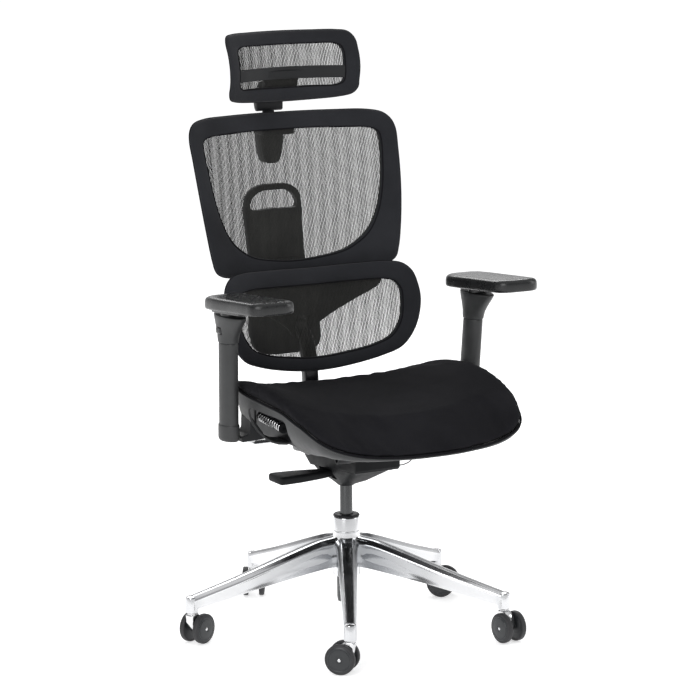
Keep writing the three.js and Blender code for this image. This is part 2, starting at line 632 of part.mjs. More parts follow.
// Upright bar from the tilt pivot to the spine
const YOKE_PIVOT = { y: 190, z: 584 };
const ARM_TOP = 379;
function backUpright() {
  const bar = sweptBar([[112, 366], [124, 396], [146, 440], [152, 498], [162, 548], [196, 590],
    [240, 628], [263, 664], [271, 695]], 16, 11, 16);
  const arms = sides.map(([, s]) => box(...[s * 50.6, s * 62].sort((a, b) => a - b),
    33, BRIDGE_FRONT + 14, 356, ARM_TOP));
  const bridge = box(-62, 62, BRIDGE_FRONT, BRIDGE_FRONT + 14, 356, ARM_TOP);
  const pinHole = rod([-80, BACK_PIVOT.y, BACK_PIVOT.z], [80, BACK_PIVOT.y, BACK_PIVOT.z], 5.2, 14);
  const yokeHole = rod([-40, YOKE_PIVOT.y, YOKE_PIVOT.z], [40, YOKE_PIVOT.y, YOKE_PIVOT.z], 3.4, 12);
  return cut(join(bar, bridge, ...arms), pinHole, yokeHole);
}
add('back_upright', backUpright(), glossBlack);
add('lumbar_pivot_pin', rod([-26, YOKE_PIVOT.y, YOKE_PIVOT.z], [26, YOKE_PIVOT.y, YOKE_PIVOT.z], 3, 12),
  steel);

// Lumbar panel and the funnel-shaped yoke that carries it
const lumbarDepth = (x, z) => 65 + 0.19 * (z - 540) + 45 * (1 - (x / 210) ** 2);
const lumbarOuter = mirrored([[0, 716], [110, 719], [165, 720], [193, 715], [210, 700], [219, 672],
  [221, 640], [208, 590], [180, 551], [139, 533], [66, 517], [0, 512]], RING_POINTS);
const lumbarInner = mirrored([[0, 682], [90, 684], [148, 685], [172, 680], [183, 664], [184, 642],
  [178, 604], [158, 573], [122, 556], [68, 545], [0, 539]], RING_POINTS);
add('lumbar_frame', backRing(lumbarOuter, lumbarInner, lumbarDepth, FRAME_DEPTH), fabric);
add('lumbar_mesh', backPanel(lumbarInner, lumbarDepth, 4, 6), mesh);

function lumbarYoke() {
  const outline = mirrored([[0, 684], [80, 686], [140, 692], [153, 686], [148, 670], [108, 638],
    [64, 610], [34, 590], [23, 578], [21, 572], [0, 572]], 36);
  const depth = (x) => 187 - 57 * (Math.abs(x) / 150) ** 3;
  const c = [0, 650];
  const at = (k, lift) => upright(scaled(outline, k, c), (x) => depth(x) + lift);
  const plate = loft([at(0.5, 0), at(1, 0), at(1, 9), at(0.5, 9)]);
  const notch = box(-16.6, 16.6, 150, 230, 560, 612);
  const pinHole = rod([-40, YOKE_PIVOT.y, YOKE_PIVOT.z], [40, YOKE_PIVOT.y, YOKE_PIVOT.z], 3.4, 12);
  return cut(plate, notch, pinHole);
}
add('lumbar_yoke', lumbarYoke(), plastic);

// ---- Headrest -----------------------------------------------------------------------------
const BLADE_HALF = 13;
const stemDepth = (z) => lerp(320, 327, (z - 920) / 103);
function headrestGuide() {
  const cross = roundedBox(-36, 36, 972, 988, 4);
  const plate = loft([upright(cross, (x, z) => upperDepth(x, z) + FRAME_DEPTH + 3),
    upright(cross, () => 316)]);
  const tongue = mirrored([[0, 988], [20, 988], [27, 984], [27, 970], [24, 945], [21, 928],
    [16, 915], [9, 911], [0, 911]], 28);
  const block = loft([upright(tongue, () => 308), upright(tongue, () => 340)]);
  const slot = loft([900, 1020].map((z) => flat(roundedBox(-BLADE_HALF - GAP, BLADE_HALF + GAP,
    stemDepth(z) - 4.4, stemDepth(z) + 4.4, 2), z)));
  return cut(join(plate, block), slot);
}
add('headrest_guide', headrestGuide(), plastic);

const HEAD_HINGE = { y: 288, z: 1072 };
function headrestStem() {
  const blade = loft([918, 1030].map((z) => flat(roundedBox(-BLADE_HALF, BLADE_HALF, stemDepth(z) - 4,
    stemDepth(z) + 4, 2), z)));
  const neckProfile = [[stemDepth(1022) - 5, 1022], [stemDepth(1022) + 6, 1022], [332, 1048],
    [HEAD_HINGE.y + 10, HEAD_HINGE.z + 8], [HEAD_HINGE.y - 8, HEAD_HINGE.z + 6],
    [HEAD_HINGE.y - 8, HEAD_HINGE.z - 8], [312, 1044]];
  const neck = loft([across(neckProfile, -30), across(neckProfile, 30)]);
  const notch = box(-14, 14, 270, 306, 1040, 1100);
  const axle = rod([-38, HEAD_HINGE.y, HEAD_HINGE.z], [38, HEAD_HINGE.y, HEAD_HINGE.z], 4, 12);
  return cut(join(blade, neck, axle), notch);
}
add('headrest_stem', headrestStem(), plastic);

const headDepth = (x, z) => 191 + 0.0055 * (z - 1105) ** 2 + 55 * (1 - (x / 147) ** 2);
const headOuter = mirrored([[0, 1183], [70, 1183], [118, 1183], [137, 1180], [145, 1168],
  [146, 1145], [146, 1115], [145, 1085], [145, 1068], [138, 1056], [117, 1049], [60, 1043],
  [0, 1041]], RING_POINTS);
const headInner = mirrored([[0, 1157], [60, 1157], [103, 1157], [114, 1153], [118, 1144],
  [118, 1120], [118, 1095], [116, 1081], [106, 1075], [60, 1073], [0, 1072]], RING_POINTS);
function headrestFrame() {
  const ring = backRing(headOuter, headInner, headDepth, 12);
  const barSection = roundedBox(-127, 127, 1092, 1112, 2, 9);
  const c = [0, 1102];
  const at = (k, lift) => upright(scaled(barSection, k, c), (x, z) => headDepth(x, z) + lift);
  const bar = loft([at(0.5, 1), at(1, 1), at(1, 6.5), at(0.5, 6.5)]);
  const lugs = sides.flatMap(([, s]) => [[256, 1050, 1066], [268, 1064, 1081]].map(([y, z0, z1]) =>
    box(...[s * 31, s * 37].sort((a, b) => a - b), y, 297, z0, z1)));
  const hole = rod([-60, HEAD_HINGE.y, HEAD_HINGE.z], [60, HEAD_HINGE.y, HEAD_HINGE.z], 4.4, 12);
  return cut(join(ring, bar, ...lugs), hole);
}
add('headrest_frame', headrestFrame(), fabric);
add('headrest_mesh', backPanel(headInner, headDepth, 7.5, 9), mesh);

export default chair;
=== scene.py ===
"""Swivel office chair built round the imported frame.

Lengths are millimetres, except for the camera, the lights and the floor, which are in metres.
"""
import math

import bmesh
import bpy
import numpy as np
from mathutils import Matrix, Vector


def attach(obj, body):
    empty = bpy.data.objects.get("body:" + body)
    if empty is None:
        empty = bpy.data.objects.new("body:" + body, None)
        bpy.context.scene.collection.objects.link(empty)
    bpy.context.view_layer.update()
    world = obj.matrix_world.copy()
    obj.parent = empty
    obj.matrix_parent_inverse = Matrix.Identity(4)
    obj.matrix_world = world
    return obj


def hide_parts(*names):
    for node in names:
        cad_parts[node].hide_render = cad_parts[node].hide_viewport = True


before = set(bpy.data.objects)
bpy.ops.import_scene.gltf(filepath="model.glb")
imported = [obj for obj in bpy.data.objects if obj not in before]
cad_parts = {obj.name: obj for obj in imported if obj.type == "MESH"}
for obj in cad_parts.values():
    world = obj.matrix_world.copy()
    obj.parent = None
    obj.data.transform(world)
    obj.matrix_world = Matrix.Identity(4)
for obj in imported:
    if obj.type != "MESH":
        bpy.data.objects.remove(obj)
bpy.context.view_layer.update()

MM = 0.001
SIDES = (("left", 1), ("right", -1))  # the sitter's sides and their signs in X
rad = math.radians


# ---- Camera, lights and floor --------------------------------------------------------------
VIEW_TURN = rad(28)  # the camera stands this far towards the sitter's right of the front
CAMERA_AWAY = 6.2465
CAMERA_HEIGHT = 1.701
CAMERA_YAW = 0.0016
CAMERA_PITCH = 0.1791
CAMERA_ROLL = -0.008
CAMERA_LENS = 164.57
# Height in the sky and grey there; the dark strip gives the polished legs their lines.
WORLD_TONES = [(0.0, 0.9), (0.1, 1.0), (0.24, 0.85), (0.27, 0.1), (0.34, 0.08), (0.38, 0.6), (0.55, 0.35),
               (0.7, 0.75), (1.0, 1.0)]


def link(obj):
    bpy.context.scene.collection.objects.link(obj)
    return obj


def make_camera():
    data = bpy.data.cameras.new("camera")
    data.lens = CAMERA_LENS
    data.sensor_width = 36
    data.clip_end = 200
    forward = Vector((math.sin(VIEW_TURN + CAMERA_YAW), math.cos(VIEW_TURN + CAMERA_YAW), 0))
    right = Vector((forward.y, -forward.x, 0))
    up = Vector((0, 0, 1))
    look = forward * math.cos(CAMERA_PITCH) - up * math.sin(CAMERA_PITCH)
    top = forward * math.sin(CAMERA_PITCH) + up * math.cos(CAMERA_PITCH)
    c, s = math.cos(CAMERA_ROLL), math.sin(CAMERA_ROLL)
    x_axis = right * c + top * s
    y_axis = top * c - right * s
    camera = link(bpy.data.objects.new("camera", data))
    turn = Matrix((x_axis, y_axis, -look)).transposed().to_4x4()
    place = Vector((-math.sin(VIEW_TURN), -math.cos(VIEW_TURN), 0)) * CAMERA_AWAY
    place.z = CAMERA_HEIGHT
    camera.matrix_world = Matrix.Translation(place) @ turn
    bpy.context.scene.camera = camera


def area_light(name, place, target, size, power):
    data = bpy.data.lights.new(name, "AREA")
    data.shape = "RECTANGLE"
    data.size, data.size_y = size
    data.energy = power
    lamp = link(bpy.data.objects.new(name, data))
    lamp.location = place
    lamp.rotation_euler = (Vector(target) - Vector(place)).to_track_quat("-Z", "Y").to_euler()


def make_studio():
    scene = bpy.context.scene
    scene.view_settings.view_transform = "Standard"
    scene.view_settings.look = "None"
    world = bpy.data.worlds.new("studio")
    scene.world = world
    world.use_nodes = True
    nodes, links = world.node_tree.nodes, world.node_tree.links
    coords = nodes.new("ShaderNodeTexCoord")
    split = nodes.new("ShaderNodeSeparateXYZ")
    ramp = nodes.new("ShaderNodeValToRGB")
    links.new(coords.outputs["Generated"], split.inputs[0])
    links.new(split.outputs["Z"], ramp.inputs[0])
    links.new(ramp.outputs[0], nodes["Background"].inputs["Color"])
    for at, _ in WORLD_TONES[1:-1]:
        ramp.color_ramp.elements.new(at)
    for element, (at, grey) in zip(ramp.color_ramp.elements, WORLD_TONES):
        element.position = at
        element.color = (grey, grey, grey * 1.01, 1)
    nodes["Background"].inputs["Strength"].default_value = 0.85
    area_light("key", (-3.2, -2.4, 2.6), (0, 0, 0.7), (2.2, 2.6), 80)
    area_light("fill", (3.4, -1.6, 2.0), (0, 0, 0.6), (1.6, 2.6), 30)
    area_light("back", (1.2, 3.2, 2.8), (0, 0, 0.7), (3.0, 1.4), 55)
    bpy.ops.mesh.primitive_plane_add(size=120, location=(0, 0, -0.0005))
    floor = bpy.context.object
    floor.name = "floor"
    paper = bpy.data.materials.new("paper")
    paper.use_nodes = True
    shader = paper.node_tree.nodes["Principled BSDF"]
    shader.inputs["Base Color"].default_value = (0.93, 0.93, 0.93, 1)
    shader.inputs["Roughness"].default_value = 0.9
    shader.inputs["Specular IOR Level"].default_value = 0.1
    shader.inputs["Emission Color"].default_value = (1, 1, 1, 1)
    shader.inputs["Emission Strength"].default_value = 0.5
    floor.data.materials.append(paper)


make_camera()
make_studio()


# ---- Materials -----------------------------------------------------------------------------
class Nodes:
    """Short calls for building one material's node tree."""

    def __init__(self, name):
        self.material = bpy.data.materials.new(name)
        self.material.use_nodes = True
        self.tree = self.material.node_tree
        self.shader = self.tree.nodes["Principled BSDF"]
        self.coords = self.tree.nodes.new("ShaderNodeTexCoord").outputs["Object"]

    def put(self, socket, value):
        if isinstance(value, bpy.types.NodeSocket):
            self.tree.links.new(value, socket)
        else:
            socket.default_value = value

    def math(self, kind, a, b=0.0):
        node = self.tree.nodes.new("ShaderNodeMath")
        node.operation = kind
        self.put(node.inputs[0], a)
        self.put(node.inputs[1], b)
        return node.outputs[0]

    def noise(self, scale, detail=3.0, rough=0.55, stretch=(1, 1, 1)):
        place = self.tree.nodes.new("ShaderNodeMapping")
        self.put(place.inputs["Vector"], self.coords)
        place.inputs["Scale"].default_value = stretch
        node = self.tree.nodes.new("ShaderNodeTexNoise")
        self.put(node.inputs["Vector"], place.outputs[0])
        node.inputs["Scale"].default_value = scale
        node.inputs["Detail"].default_value = detail
        node.inputs["Roughness"].default_value = rough
        return node.outputs["Fac"]

    def cells(self, scale):
        node = self.tree.nodes.new("ShaderNodeTexVoronoi")
        self.put(node.inputs["Vector"], self.coords)
        node.inputs["Scale"].default_value = scale
        return node.outputs["Distance"]

    def ramp(self, value, low, high, out_low=0.0, out_high=1.0):
        node = self.tree.nodes.new("ShaderNodeMapRange")
        self.put(node.inputs["Value"], value)
        for name, number in zip(("From Min", "From Max", "To Min", "To Max"),
                                (low, high, out_low, out_high)):
            node.inputs[name].default_value = number
        return node.outputs[0]

    def mix(self, factor, a, b):
        node = self.tree.nodes.new("ShaderNodeMix")
        node.data_type = "RGBA"
        self.put(node.inputs[0], factor)
        node.inputs[6].default_value = (*a, 1)
        node.inputs[7].default_value = (*b, 1)
        return node.outputs[2]

    def axis(self, letter):
        node = self.tree.nodes.new("ShaderNodeSeparateXYZ")
        self.put(node.inputs[0], self.coords)
        return node.outputs[letter]

    def bump(self, height, strength, distance):
        node = self.tree.nodes.new("ShaderNodeBump")
        self.put(node.inputs["Height"], height)
        node.inputs["Strength"].default_value = strength
        node.inputs["Distance"].default_value = distance
        self.put(self.shader.inputs["Normal"], node.outputs[0])

    def finish(self, **sockets):
        for name, value in sockets.items():
            self.put(self.shader.inputs[name.replace("_", " ")], value)
        return self.material


def woven(name, dark, light, along, across, pitch, bump=0.35, sheen=0.1, specular=0.15):
    """Cloth whose warp and weft run along two axes."""
    n = Nodes(name)
    warp = n.math("SINE", n.math("MULTIPLY", n.axis(along), 2 * math.pi / (pitch * MM)))
    weft = n.math("SINE", n.math("MULTIPLY", n.axis(across), 2 * math.pi / (pitch * MM)))
    threads = n.math("MULTIPLY", warp, weft)
    fuzz = n.noise(900, 2.0, 0.6)
    cloud = n.noise(9, 3.0, 0.55)
    height = n.math("ADD", n.math("MULTIPLY", threads, 0.5), fuzz)
    haze = n.math("ADD", cloud, n.math("MULTIPLY", fuzz, 0.35))
    tone = n.math("ADD", n.math("MULTIPLY", threads, 0.18), haze)
    colour = n.mix(n.ramp(tone, 0.35, 1.0), dark, light)
    n.bump(height, bump, 0.0004)
    return n.finish(Base_Color=colour, Roughness=n.ramp(fuzz, 0.3, 0.7, 0.86, 0.98),
                    Sheen_Weight=sheen, Sheen_Roughness=0.45, Specular_IOR_Level=specular)


def moulded(name, dark, light, rough=(0.42, 0.55), grain=0.12, specular=0.5):
    """Injection-moulded plastic with a fine spark-eroded grain."""
    n = Nodes(name)
    cloud = n.noise(14, 3.0, 0.5)
    pits = n.cells(1500)
    haze = n.noise(60, 4.0, 0.6)
    colour = n.mix(n.ramp(n.math("ADD", cloud, n.math("MULTIPLY", haze, 0.4)), 0.45, 0.95), dark, light)
    n.bump(n.math("ADD", pits, haze), grain, 0.0002)
    return n.finish(Base_Color=colour, Roughness=n.ramp(haze, 0.3, 0.7, *rough),
                    Specular_IOR_Level=specular)


def metal(name, dark, light, rough, brush=(1, 1, 1), scale=40, grain=0.02):
    n = Nodes(name)
    streak = n.noise(scale, 3.0, 0.6, brush)
    smear = n.noise(7, 2.0, 0.5)
    colour = n.mix(n.ramp(smear, 0.35, 0.7), dark, light)
    n.bump(streak, grain, 0.0002)
    return n.finish(Base_Color=colour, Metallic=1.0, Roughness=n.ramp(streak, 0.3, 0.7, *rough))


SEAT_CLOTH = woven("seat_cloth", (0.009, 0.009, 0.0105), (0.016, 0.016, 0.0185), "X", "Y", 1.5, 0.4,
                   0.02, 0.04)
BORDER_CLOTH = woven("border_cloth", (0.014, 0.0145, 0.017), (0.027, 0.028, 0.032), "X", "Z", 1.8, 0.4,
                     0.08, 0.12)
NET_YARN = woven("net_yarn", (0.016, 0.016, 0.0155), (0.042, 0.042, 0.039), "X", "Z", 0.7, 0.2, 0.06, 0.1)
PIPING = woven("piping", (0.007, 0.007, 0.008), (0.012, 0.012, 0.014), "X", "Z", 1.0, 0.3, 0.02, 0.03)
GREY_PLASTIC = moulded("grey_plastic", (0.026, 0.027, 0.0275), (0.040, 0.041, 0.042), (0.4, 0.52), 0.12, 0.34)
BLACK_PLASTIC = moulded("black_plastic", (0.0055, 0.006, 0.0065), (0.009, 0.0095, 0.0105),
                        (0.46, 0.58), 0.12, 0.14)
DARK_PLASTIC = moulded("dark_plastic", (0.008, 0.0085, 0.0095), (0.013, 0.0135, 0.015), (0.4, 0.52),
                       0.12, 0.25)
GLOSS_PLASTIC = moulded("gloss_plastic", (0.008, 0.008, 0.009), (0.013, 0.013, 0.015), (0.16, 0.26), 0.03)
PAD_SKIN = moulded("pad_skin", (0.008, 0.0085, 0.009), (0.013, 0.0135, 0.014), (0.24, 0.32), 0.22, 0.42)
WHEEL_PLASTIC = moulded("wheel_plastic", (0.015, 0.017, 0.019), (0.023, 0.025, 0.028), (0.28, 0.4), 0.05)
TREAD = moulded("tread", (0.016, 0.016, 0.018), (0.026, 0.026, 0.028), (0.5, 0.65), 0.1)


def cast_metal(name, dark, light, rough):
    """Polished casting with painted shade on the legs near the hub, where they lie under the seat; the legs
    are also darker at their ends.
    """
    n = Nodes(name)
    away = n.math("SQRT", n.math("ADD", n.math("POWER", n.axis("X"), 2.0), n.math("POWER", n.axis("Y"), 2.0)))
    # Painted shade: dark on the legs near the hub, under the seat, lightening outwards.
    out = n.ramp(away, 0.035, 0.21)
    # The hub's own face keeps the light tone, outside the painted shade.
    hub_tone = n.ramp(away, 0.028, 0.034, 1.0, 0.0)
    smear = n.ramp(n.noise(6, 2.0, 0.5), 0.3, 0.75, -0.18, 0.18)
    # Darker towards the leg ends, by the caster sockets.
    foot = n.ramp(away, 0.296, 0.318, 0.0, 0.3)
    tone = n.math("SUBTRACT", n.math("ADD", n.math("MAXIMUM", out, hub_tone), smear), foot)
    n.bump(n.noise(12, 3.0, 0.6), 0.02, 0.0002)
    colour = n.mix(n.ramp(tone, 0.0, 1.0), dark, light)
    dull = n.ramp(n.noise(30, 3.0, 0.6), 0.3, 0.7, *rough)
    return n.finish(Base_Color=colour, Metallic=1.0, Roughness=dull)


# The dark colour is the painted shade on the legs near the hub.
CAST = cast_metal("cast_aluminium", (0.34, 0.35, 0.365), (0.8, 0.805, 0.815), (0.11, 0.2))
POLISHED = metal("polished_aluminium", (0.66, 0.67, 0.68), (0.88, 0.88, 0.885), (0.1, 0.19), scale=12)
CHROME = metal("chrome", (0.62, 0.625, 0.635), (0.8, 0.8, 0.805), (0.05, 0.1))
STEEL = metal("steel", (0.2, 0.2, 0.205), (0.32, 0.32, 0.325), (0.28, 0.42), (1, 1, 12), 60, 0.05)
COLUMN = metal("column_steel", (0.075, 0.077, 0.078), (0.115, 0.117, 0.118), (0.22, 0.34), (10, 10, 1),
               80, 0.05)


# ---- Mesh helpers --------------------------------------------------------------------------
def lerp(a, b, t):
    return a + (b - a) * t


def smooth_step(t):
    t = min(1.0, max(0.0, t))
    return t * t * (3 - 2 * t)


def smooth_table(pairs, at, reach):
    """A table's value averaged over a stretch, so that its corners are rounded."""
    xs, ys = zip(*pairs)
    offsets = np.linspace(-reach, reach, 7)
    return float(np.interp(at + offsets, xs, ys).mean())


def spline_span(quad, steps):
    """Centripetal Catmull-Rom points from the second to the third of four points."""
    k = [0.0]
    for a, b in zip(quad, quad[1:]):
        k.append(k[-1] + max(1e-6, np.linalg.norm(b - a)) ** 0.5)
    out = []
    for u in np.linspace(k[1], k[2], steps, endpoint=False):
        a = [quad[i] + (quad[i + 1] - quad[i]) * (u - k[i]) / (k[i + 1] - k[i]) for i in range(3)]
        b = [a[i] + (a[i + 1] - a[i]) * (u - k[i]) / (k[i + 2] - k[i]) for i in range(2)]
        out.append(b[0] + (b[1] - b[0]) * (u - k[1]) / (k[2] - k[1]))
    return out


def even(points, count, closed):
    """Points the same distance apart along a dense line."""
    p = np.array(points)
    if closed:
        p = np.vstack([p, p[:1]])
    along = np.concatenate([[0], np.cumsum(np.linalg.norm(np.diff(p, axis=0), axis=1))])
    at = np.linspace(0, along[-1], count, endpoint=not closed)
    return np.stack([np.interp(at, along, p[:, k]) for k in range(p.shape[1])], axis=1)


def spline_loop(points, count):
    """Evenly spaced points on a smooth closed curve."""
    p = np.array(points, float)
    n = len(p)
    dense = []
    for i in range(n):
        dense += spline_span([p[(i + k) % n] for k in (-1, 0, 1, 2)], 24)
    return even(dense, count, True)


def spline(points, count):
    """Evenly spaced points on a smooth open curve."""
    p = [np.array(q, float) for q in points]
    p = [p[0] * 2 - p[1]] + p + [p[-1] * 2 - p[-2]]
    dense = []
    for i in range(1, len(p) - 2):
        dense += spline_span(p[i - 1:i + 3], 24)
    return even(dense + [p[-2]], count, False)


def mirrored(half, count):
    """Closed outline from the right half of a mirrored shape, from middle to middle."""
    left = [(-u, v) for u, v in reversed(half[1:-1])]
    return spline_loop(list(half) + left, count)


def inset(outline, amount):
    """Outline moved inward by an amount along its own normals."""
    before, after = np.roll(outline, 1, axis=0), np.roll(outline, -1, axis=0)
    t = after - before
    normal = np.stack([t[:, 1], -t[:, 0]], axis=1)
    normal /= np.linalg.norm(normal, axis=1)[:, None]
    middle = outline.mean(axis=0)
    if ((outline - middle) * normal).sum() < 0:
        normal = -normal
    return outline - normal * amount


def rounded_box(u0, u1, v0, v1, radius, per_corner=6):
    corners = [(u1 - radius, v1 - radius, 0), (u0 + radius, v1 - radius, 90),
               (u0 + radius, v0 + radius, 180), (u1 - radius, v0 + radius, 270)]
    points = []
    for cu, cv, start in corners:
        for i in range(per_corner):
            a = rad(start + 90 * i / (per_corner - 1))
            points.append((cu + radius * math.cos(a), cv + radius * math.sin(a)))
    return np.array(points)


def oval(cu, cv, ru, rv, count=40):
    a = np.linspace(0, 2 * math.pi, count, endpoint=False)
    return np.stack([cu + ru * np.cos(a), cv + rv * np.sin(a)], axis=1)


def flat(outline, z):
    return [(x, y, z) for x, y in outline]


def upright(outline, depth, lift=0.0):
    return [(x, depth(x, z) + lift, z) for x, z in outline]


def across(outline, x):
    return [(x, y, z) for y, z in outline]


def facing(outline, y):
    return [(x, y, z) for x, z in outline]


def loft(loops, ring=False):
    """Vertices and faces of a surface through loops, with flat ends or joined end to end."""
    n = len(loops[0])
    verts = [tuple(p) for loop in loops for p in loop]
    faces = []
    for b in range(len(loops) if ring else len(loops) - 1):
        near, far = b * n, ((b + 1) % len(loops)) * n
        faces += [(near + i, near + (i + 1) % n, far + (i + 1) % n, far + i) for i in range(n)]
    if not ring:
        faces.append(tuple(range(n - 1, -1, -1)))
        faces.append(tuple(range(len(verts) - n, len(verts))))
    return verts, faces


def slab(outline, x0, x1, edge):
    """Plate square to X; its edge is given as (distance from the face, amount moved in) pairs."""
    near = [(x0 + deep, amount) for deep, amount in edge]
    far = [(x1 - deep, amount) for deep, amount in reversed(edge)]
    return loft([across(inset(outline, amount), x) for x, amount in near + far])


def turned(profile, count=64, ring=False):
    """Body turned about Z from (radius, z) pairs."""
    return loft([flat(oval(0, 0, r, r, count), z) for r, z in profile], ring)


def moved(shape, matrix):
    verts, faces = shape
    return [tuple(matrix @ Vector(v)) for v in verts], faces


def along_x(profile, count, x=0, y=0, z=0, side=1, ring=False):
    """Body turned about a line along X, from (radius, distance along it) pairs."""
    place = Matrix.Translation((x, y, z)) @ Matrix.Rotation(side * math.pi / 2, 4, "Y")
    return moved(turned(profile, count, ring), place)


def shifted(shape, x, y, z):
    return moved(shape, Matrix.Translation((x, y, z)))


def merged(*shapes):
    verts, faces = [], []
    for more_verts, more_faces in shapes:
        start = len(verts)
        verts += list(more_verts)
        faces += [tuple(i + start for i in face) for face in more_faces]
    return verts, faces


def box(x0, x1, y0, y1, z0, z1):
    corners = [(x, y) for x, y in ((x0, y0), (x1, y0), (x1, y1), (x0, y1))]
    verts = [(x, y, z) for z in (z0, z1) for x, y in corners]
    faces = [(3, 2, 1, 0), (4, 5, 6, 7)] + [(i, (i + 1) % 4, (i + 1) % 4 + 4, i + 4) for i in range(4)]
    return verts, faces


def tube(points, radius, sides=8, closed=False):
    """Round bar along points, with frames carried along so that it doesn't twist."""
    p = np.array(points, float)
    if closed:
        tangent = np.roll(p, -1, axis=0) - np.roll(p, 1, axis=0)
    else:
        tangent = np.gradient(p, axis=0)
    tangent /= np.linalg.norm(tangent, axis=1)[:, None]
    normal = np.cross(tangent[0], (0.0, 0.0, 1.0))
    if np.linalg.norm(normal) < 1e-3:
        normal = np.cross(tangent[0], (1.0, 0.0, 0.0))
    loops = []
    for at, t in zip(p, tangent):
        normal = normal - t * normal.dot(t)
        normal /= np.linalg.norm(normal)
        side = np.cross(t, normal)
        angles = np.linspace(0, 2 * math.pi, sides, endpoint=False)
        loops.append([tuple(at + radius * (math.cos(a) * normal + math.sin(a) * side)) for a in angles])
    return loft(loops, ring=closed)


def swept(path, section):
    """Section of (across, deep) points carried along a path that stays square to X."""
    p = np.array(path, float)
    side = np.array((1.0, 0.0, 0.0))
    tangent = np.gradient(p, axis=0)
    tangent /= np.linalg.norm(tangent, axis=1)[:, None]
    loops = []
    for at, t in zip(p, tangent):
        deep = np.cross(t, side)
        loops.append([tuple(at + side * u + deep * v) for u, v in section])
    return loft(loops)


def add_bevel(obj, width, segments=3, angle=32):
    edge = obj.modifiers.new("edges", "BEVEL")
    edge.width = width * MM
    edge.segments = segments
    edge.limit_method = "ANGLE"
    edge.angle_limit = rad(angle)
    edge.harden_normals = True


def mesh_of(name, shape):
    """Mesh in metres from a shape in millimetres."""
    verts, faces = shape
    data = bpy.data.meshes.new(name)
    data.from_pydata([(x * MM, y * MM, z * MM) for x, y, z in verts], [], faces)
    return data


def shade(work, sharp):
    """Smooth shading, with a crease where two faces meet at more than an angle."""
    for face in work.faces:
        face.smooth = True
    for edge in work.edges:
        edge.smooth = not (len(edge.link_faces) == 2 and edge.calc_face_angle() > rad(sharp))


def clean(data):
    work = bmesh.new()
    work.from_mesh(data)
    bmesh.ops.remove_doubles(work, verts=work.verts, dist=1e-6)
    bmesh.ops.triangulate(work, faces=[f for f in work.faces if len(f.verts) > 4])
    bmesh.ops.recalc_face_normals(work, faces=work.faces)
    work.to_mesh(data)
    work.free()


def cut_by(obj, *shapes, sharp=40):
    """Boolean cut with closed cutter shapes, applied to the mesh."""
    clean(obj.data)
    for shape in shapes:
        data = mesh_of("cutter", shape)
        clean(data)
        cutter = link(bpy.data.objects.new("cutter", data))
        cut = obj.modifiers.new("cut", "BOOLEAN")
        cut.operation = "DIFFERENCE"
        cut.solver = "MANIFOLD"
        cut.object = cutter
        bake_modifiers(obj)
        bpy.data.objects.remove(cutter)
    work = bmesh.new()
    work.from_mesh(obj.data)
    bmesh.ops.remove_doubles(work, verts=work.verts, dist=2e-5)
    shade(work, sharp)
    work.to_mesh(obj.data)
    work.free()
    if not len(obj.data.polygons):
        raise ValueError(f"{obj.name}: nothing is left after the cut")


def bake_modifiers(obj):
    """Replaces the mesh by what its modifiers make of it."""
    graph = bpy.context.evaluated_depsgraph_get()
    done = bpy.data.meshes.new_from_object(obj.evaluated_get(graph), depsgraph=graph)
    obj.modifiers.clear()
    obj.data = done


def piece(name, shape, material, body, *nodes, sharp=180):
    """One visible piece, riding on a body in place of its CAD nodes."""
    data = mesh_of(name, shape)
    work = bmesh.new()
    work.from_mesh(data)
    bmesh.ops.remove_doubles(work, verts=work.verts, dist=1e-6)
    bmesh.ops.recalc_face_normals(work, faces=work.faces)
    shade(work, sharp)
    work.to_mesh(data)
    work.free()
    obj = link(bpy.data.objects.new(name, data))
    data.materials.append(material)
    if nodes:
        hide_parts(*nodes)
    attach(obj, body)
    return obj


# ---- Star base -----------------------------------------------------------------------------
HUB = {"radius": 26, "low": 113, "high": 233}
STEM_CIRCLE = 325
SOCKET = {"radius": 12.5, "low": 64, "high": 97.5}
LEG_ANGLES = [-27 + 72 * i for i in range(5)]
LEG_STATIONS = (14, 22, 27, 32, 38, 46, 58, 75, 100, 130, 165, 200, 235, 270, 295, 312, 323)
LEG_WALL = 4.0


def leg_section(r, wall=0.0):
    """Cross-section of a leg: flat ridge, rounded shoulder, side leaning in to the foot."""
    t = (r - HUB["radius"]) / (STEM_CIRCLE - HUB["radius"])
    flare = 7 * math.exp(-max(0, r - HUB["radius"]) / 12)
    level = 5 * smooth_step((r - 20) / 45) * (1 - smooth_step((r - 60) / 190))
    top = lerp(193, SOCKET["high"], t) + level - wall * 1.5
    depth = lerp(58, 25, max(0.0, t) ** 0.85) + level
    ridge = lerp(12, 7, t) - wall
    wide = lerp(21, 12.5, t) - wall + flare * (wall == 0)
    foot = lerp(16, 10, t) - wall + flare * (wall == 0)
    sink = lerp(5.5, 1.2, smooth_step(t * 1.5)) * (wall == 0)
    return [(ridge - 1, top), (ridge + 0.6, top - 0.5), (ridge + 2, top - 2), (ridge + 3.2, top - 4.2),
            (lerp(ridge + 3.2, wide, 0.7), top - 6.2), (wide, top - 9.5), (wide + 0.3, top - 12.5),
            (wide - sink * 0.5, top - lerp(12.5, depth, 0.14)), (wide - sink, top - lerp(12.5, depth, 0.34)),
            (lerp(wide, foot, 0.5) - sink, top - lerp(12.5, depth, 0.6)),
            (lerp(wide, foot, 0.8) - sink * 0.3, top - lerp(12.5, depth, 0.84)), (foot, top - depth)]


def leg(angle):
    """Open channel of cast metal from the hub to the caster socket."""
    loops = []
    for r in LEG_STATIONS:
        outer = leg_section(r)
        inner = [(max(1.0, w - 0.01), z) for w, z in leg_section(r, LEG_WALL)]
        inner[-1] = (inner[-1][0], outer[-1][1])
        right = outer + inner[::-1]
        left = [(-w, z) for w, z in right[::-1]]
        loops.append([(r, w, z) for w, z in right + left])
    direction = rad(angle) - math.pi / 2
    return moved(loft(loops), Matrix.Rotation(direction, 4, "Z"))


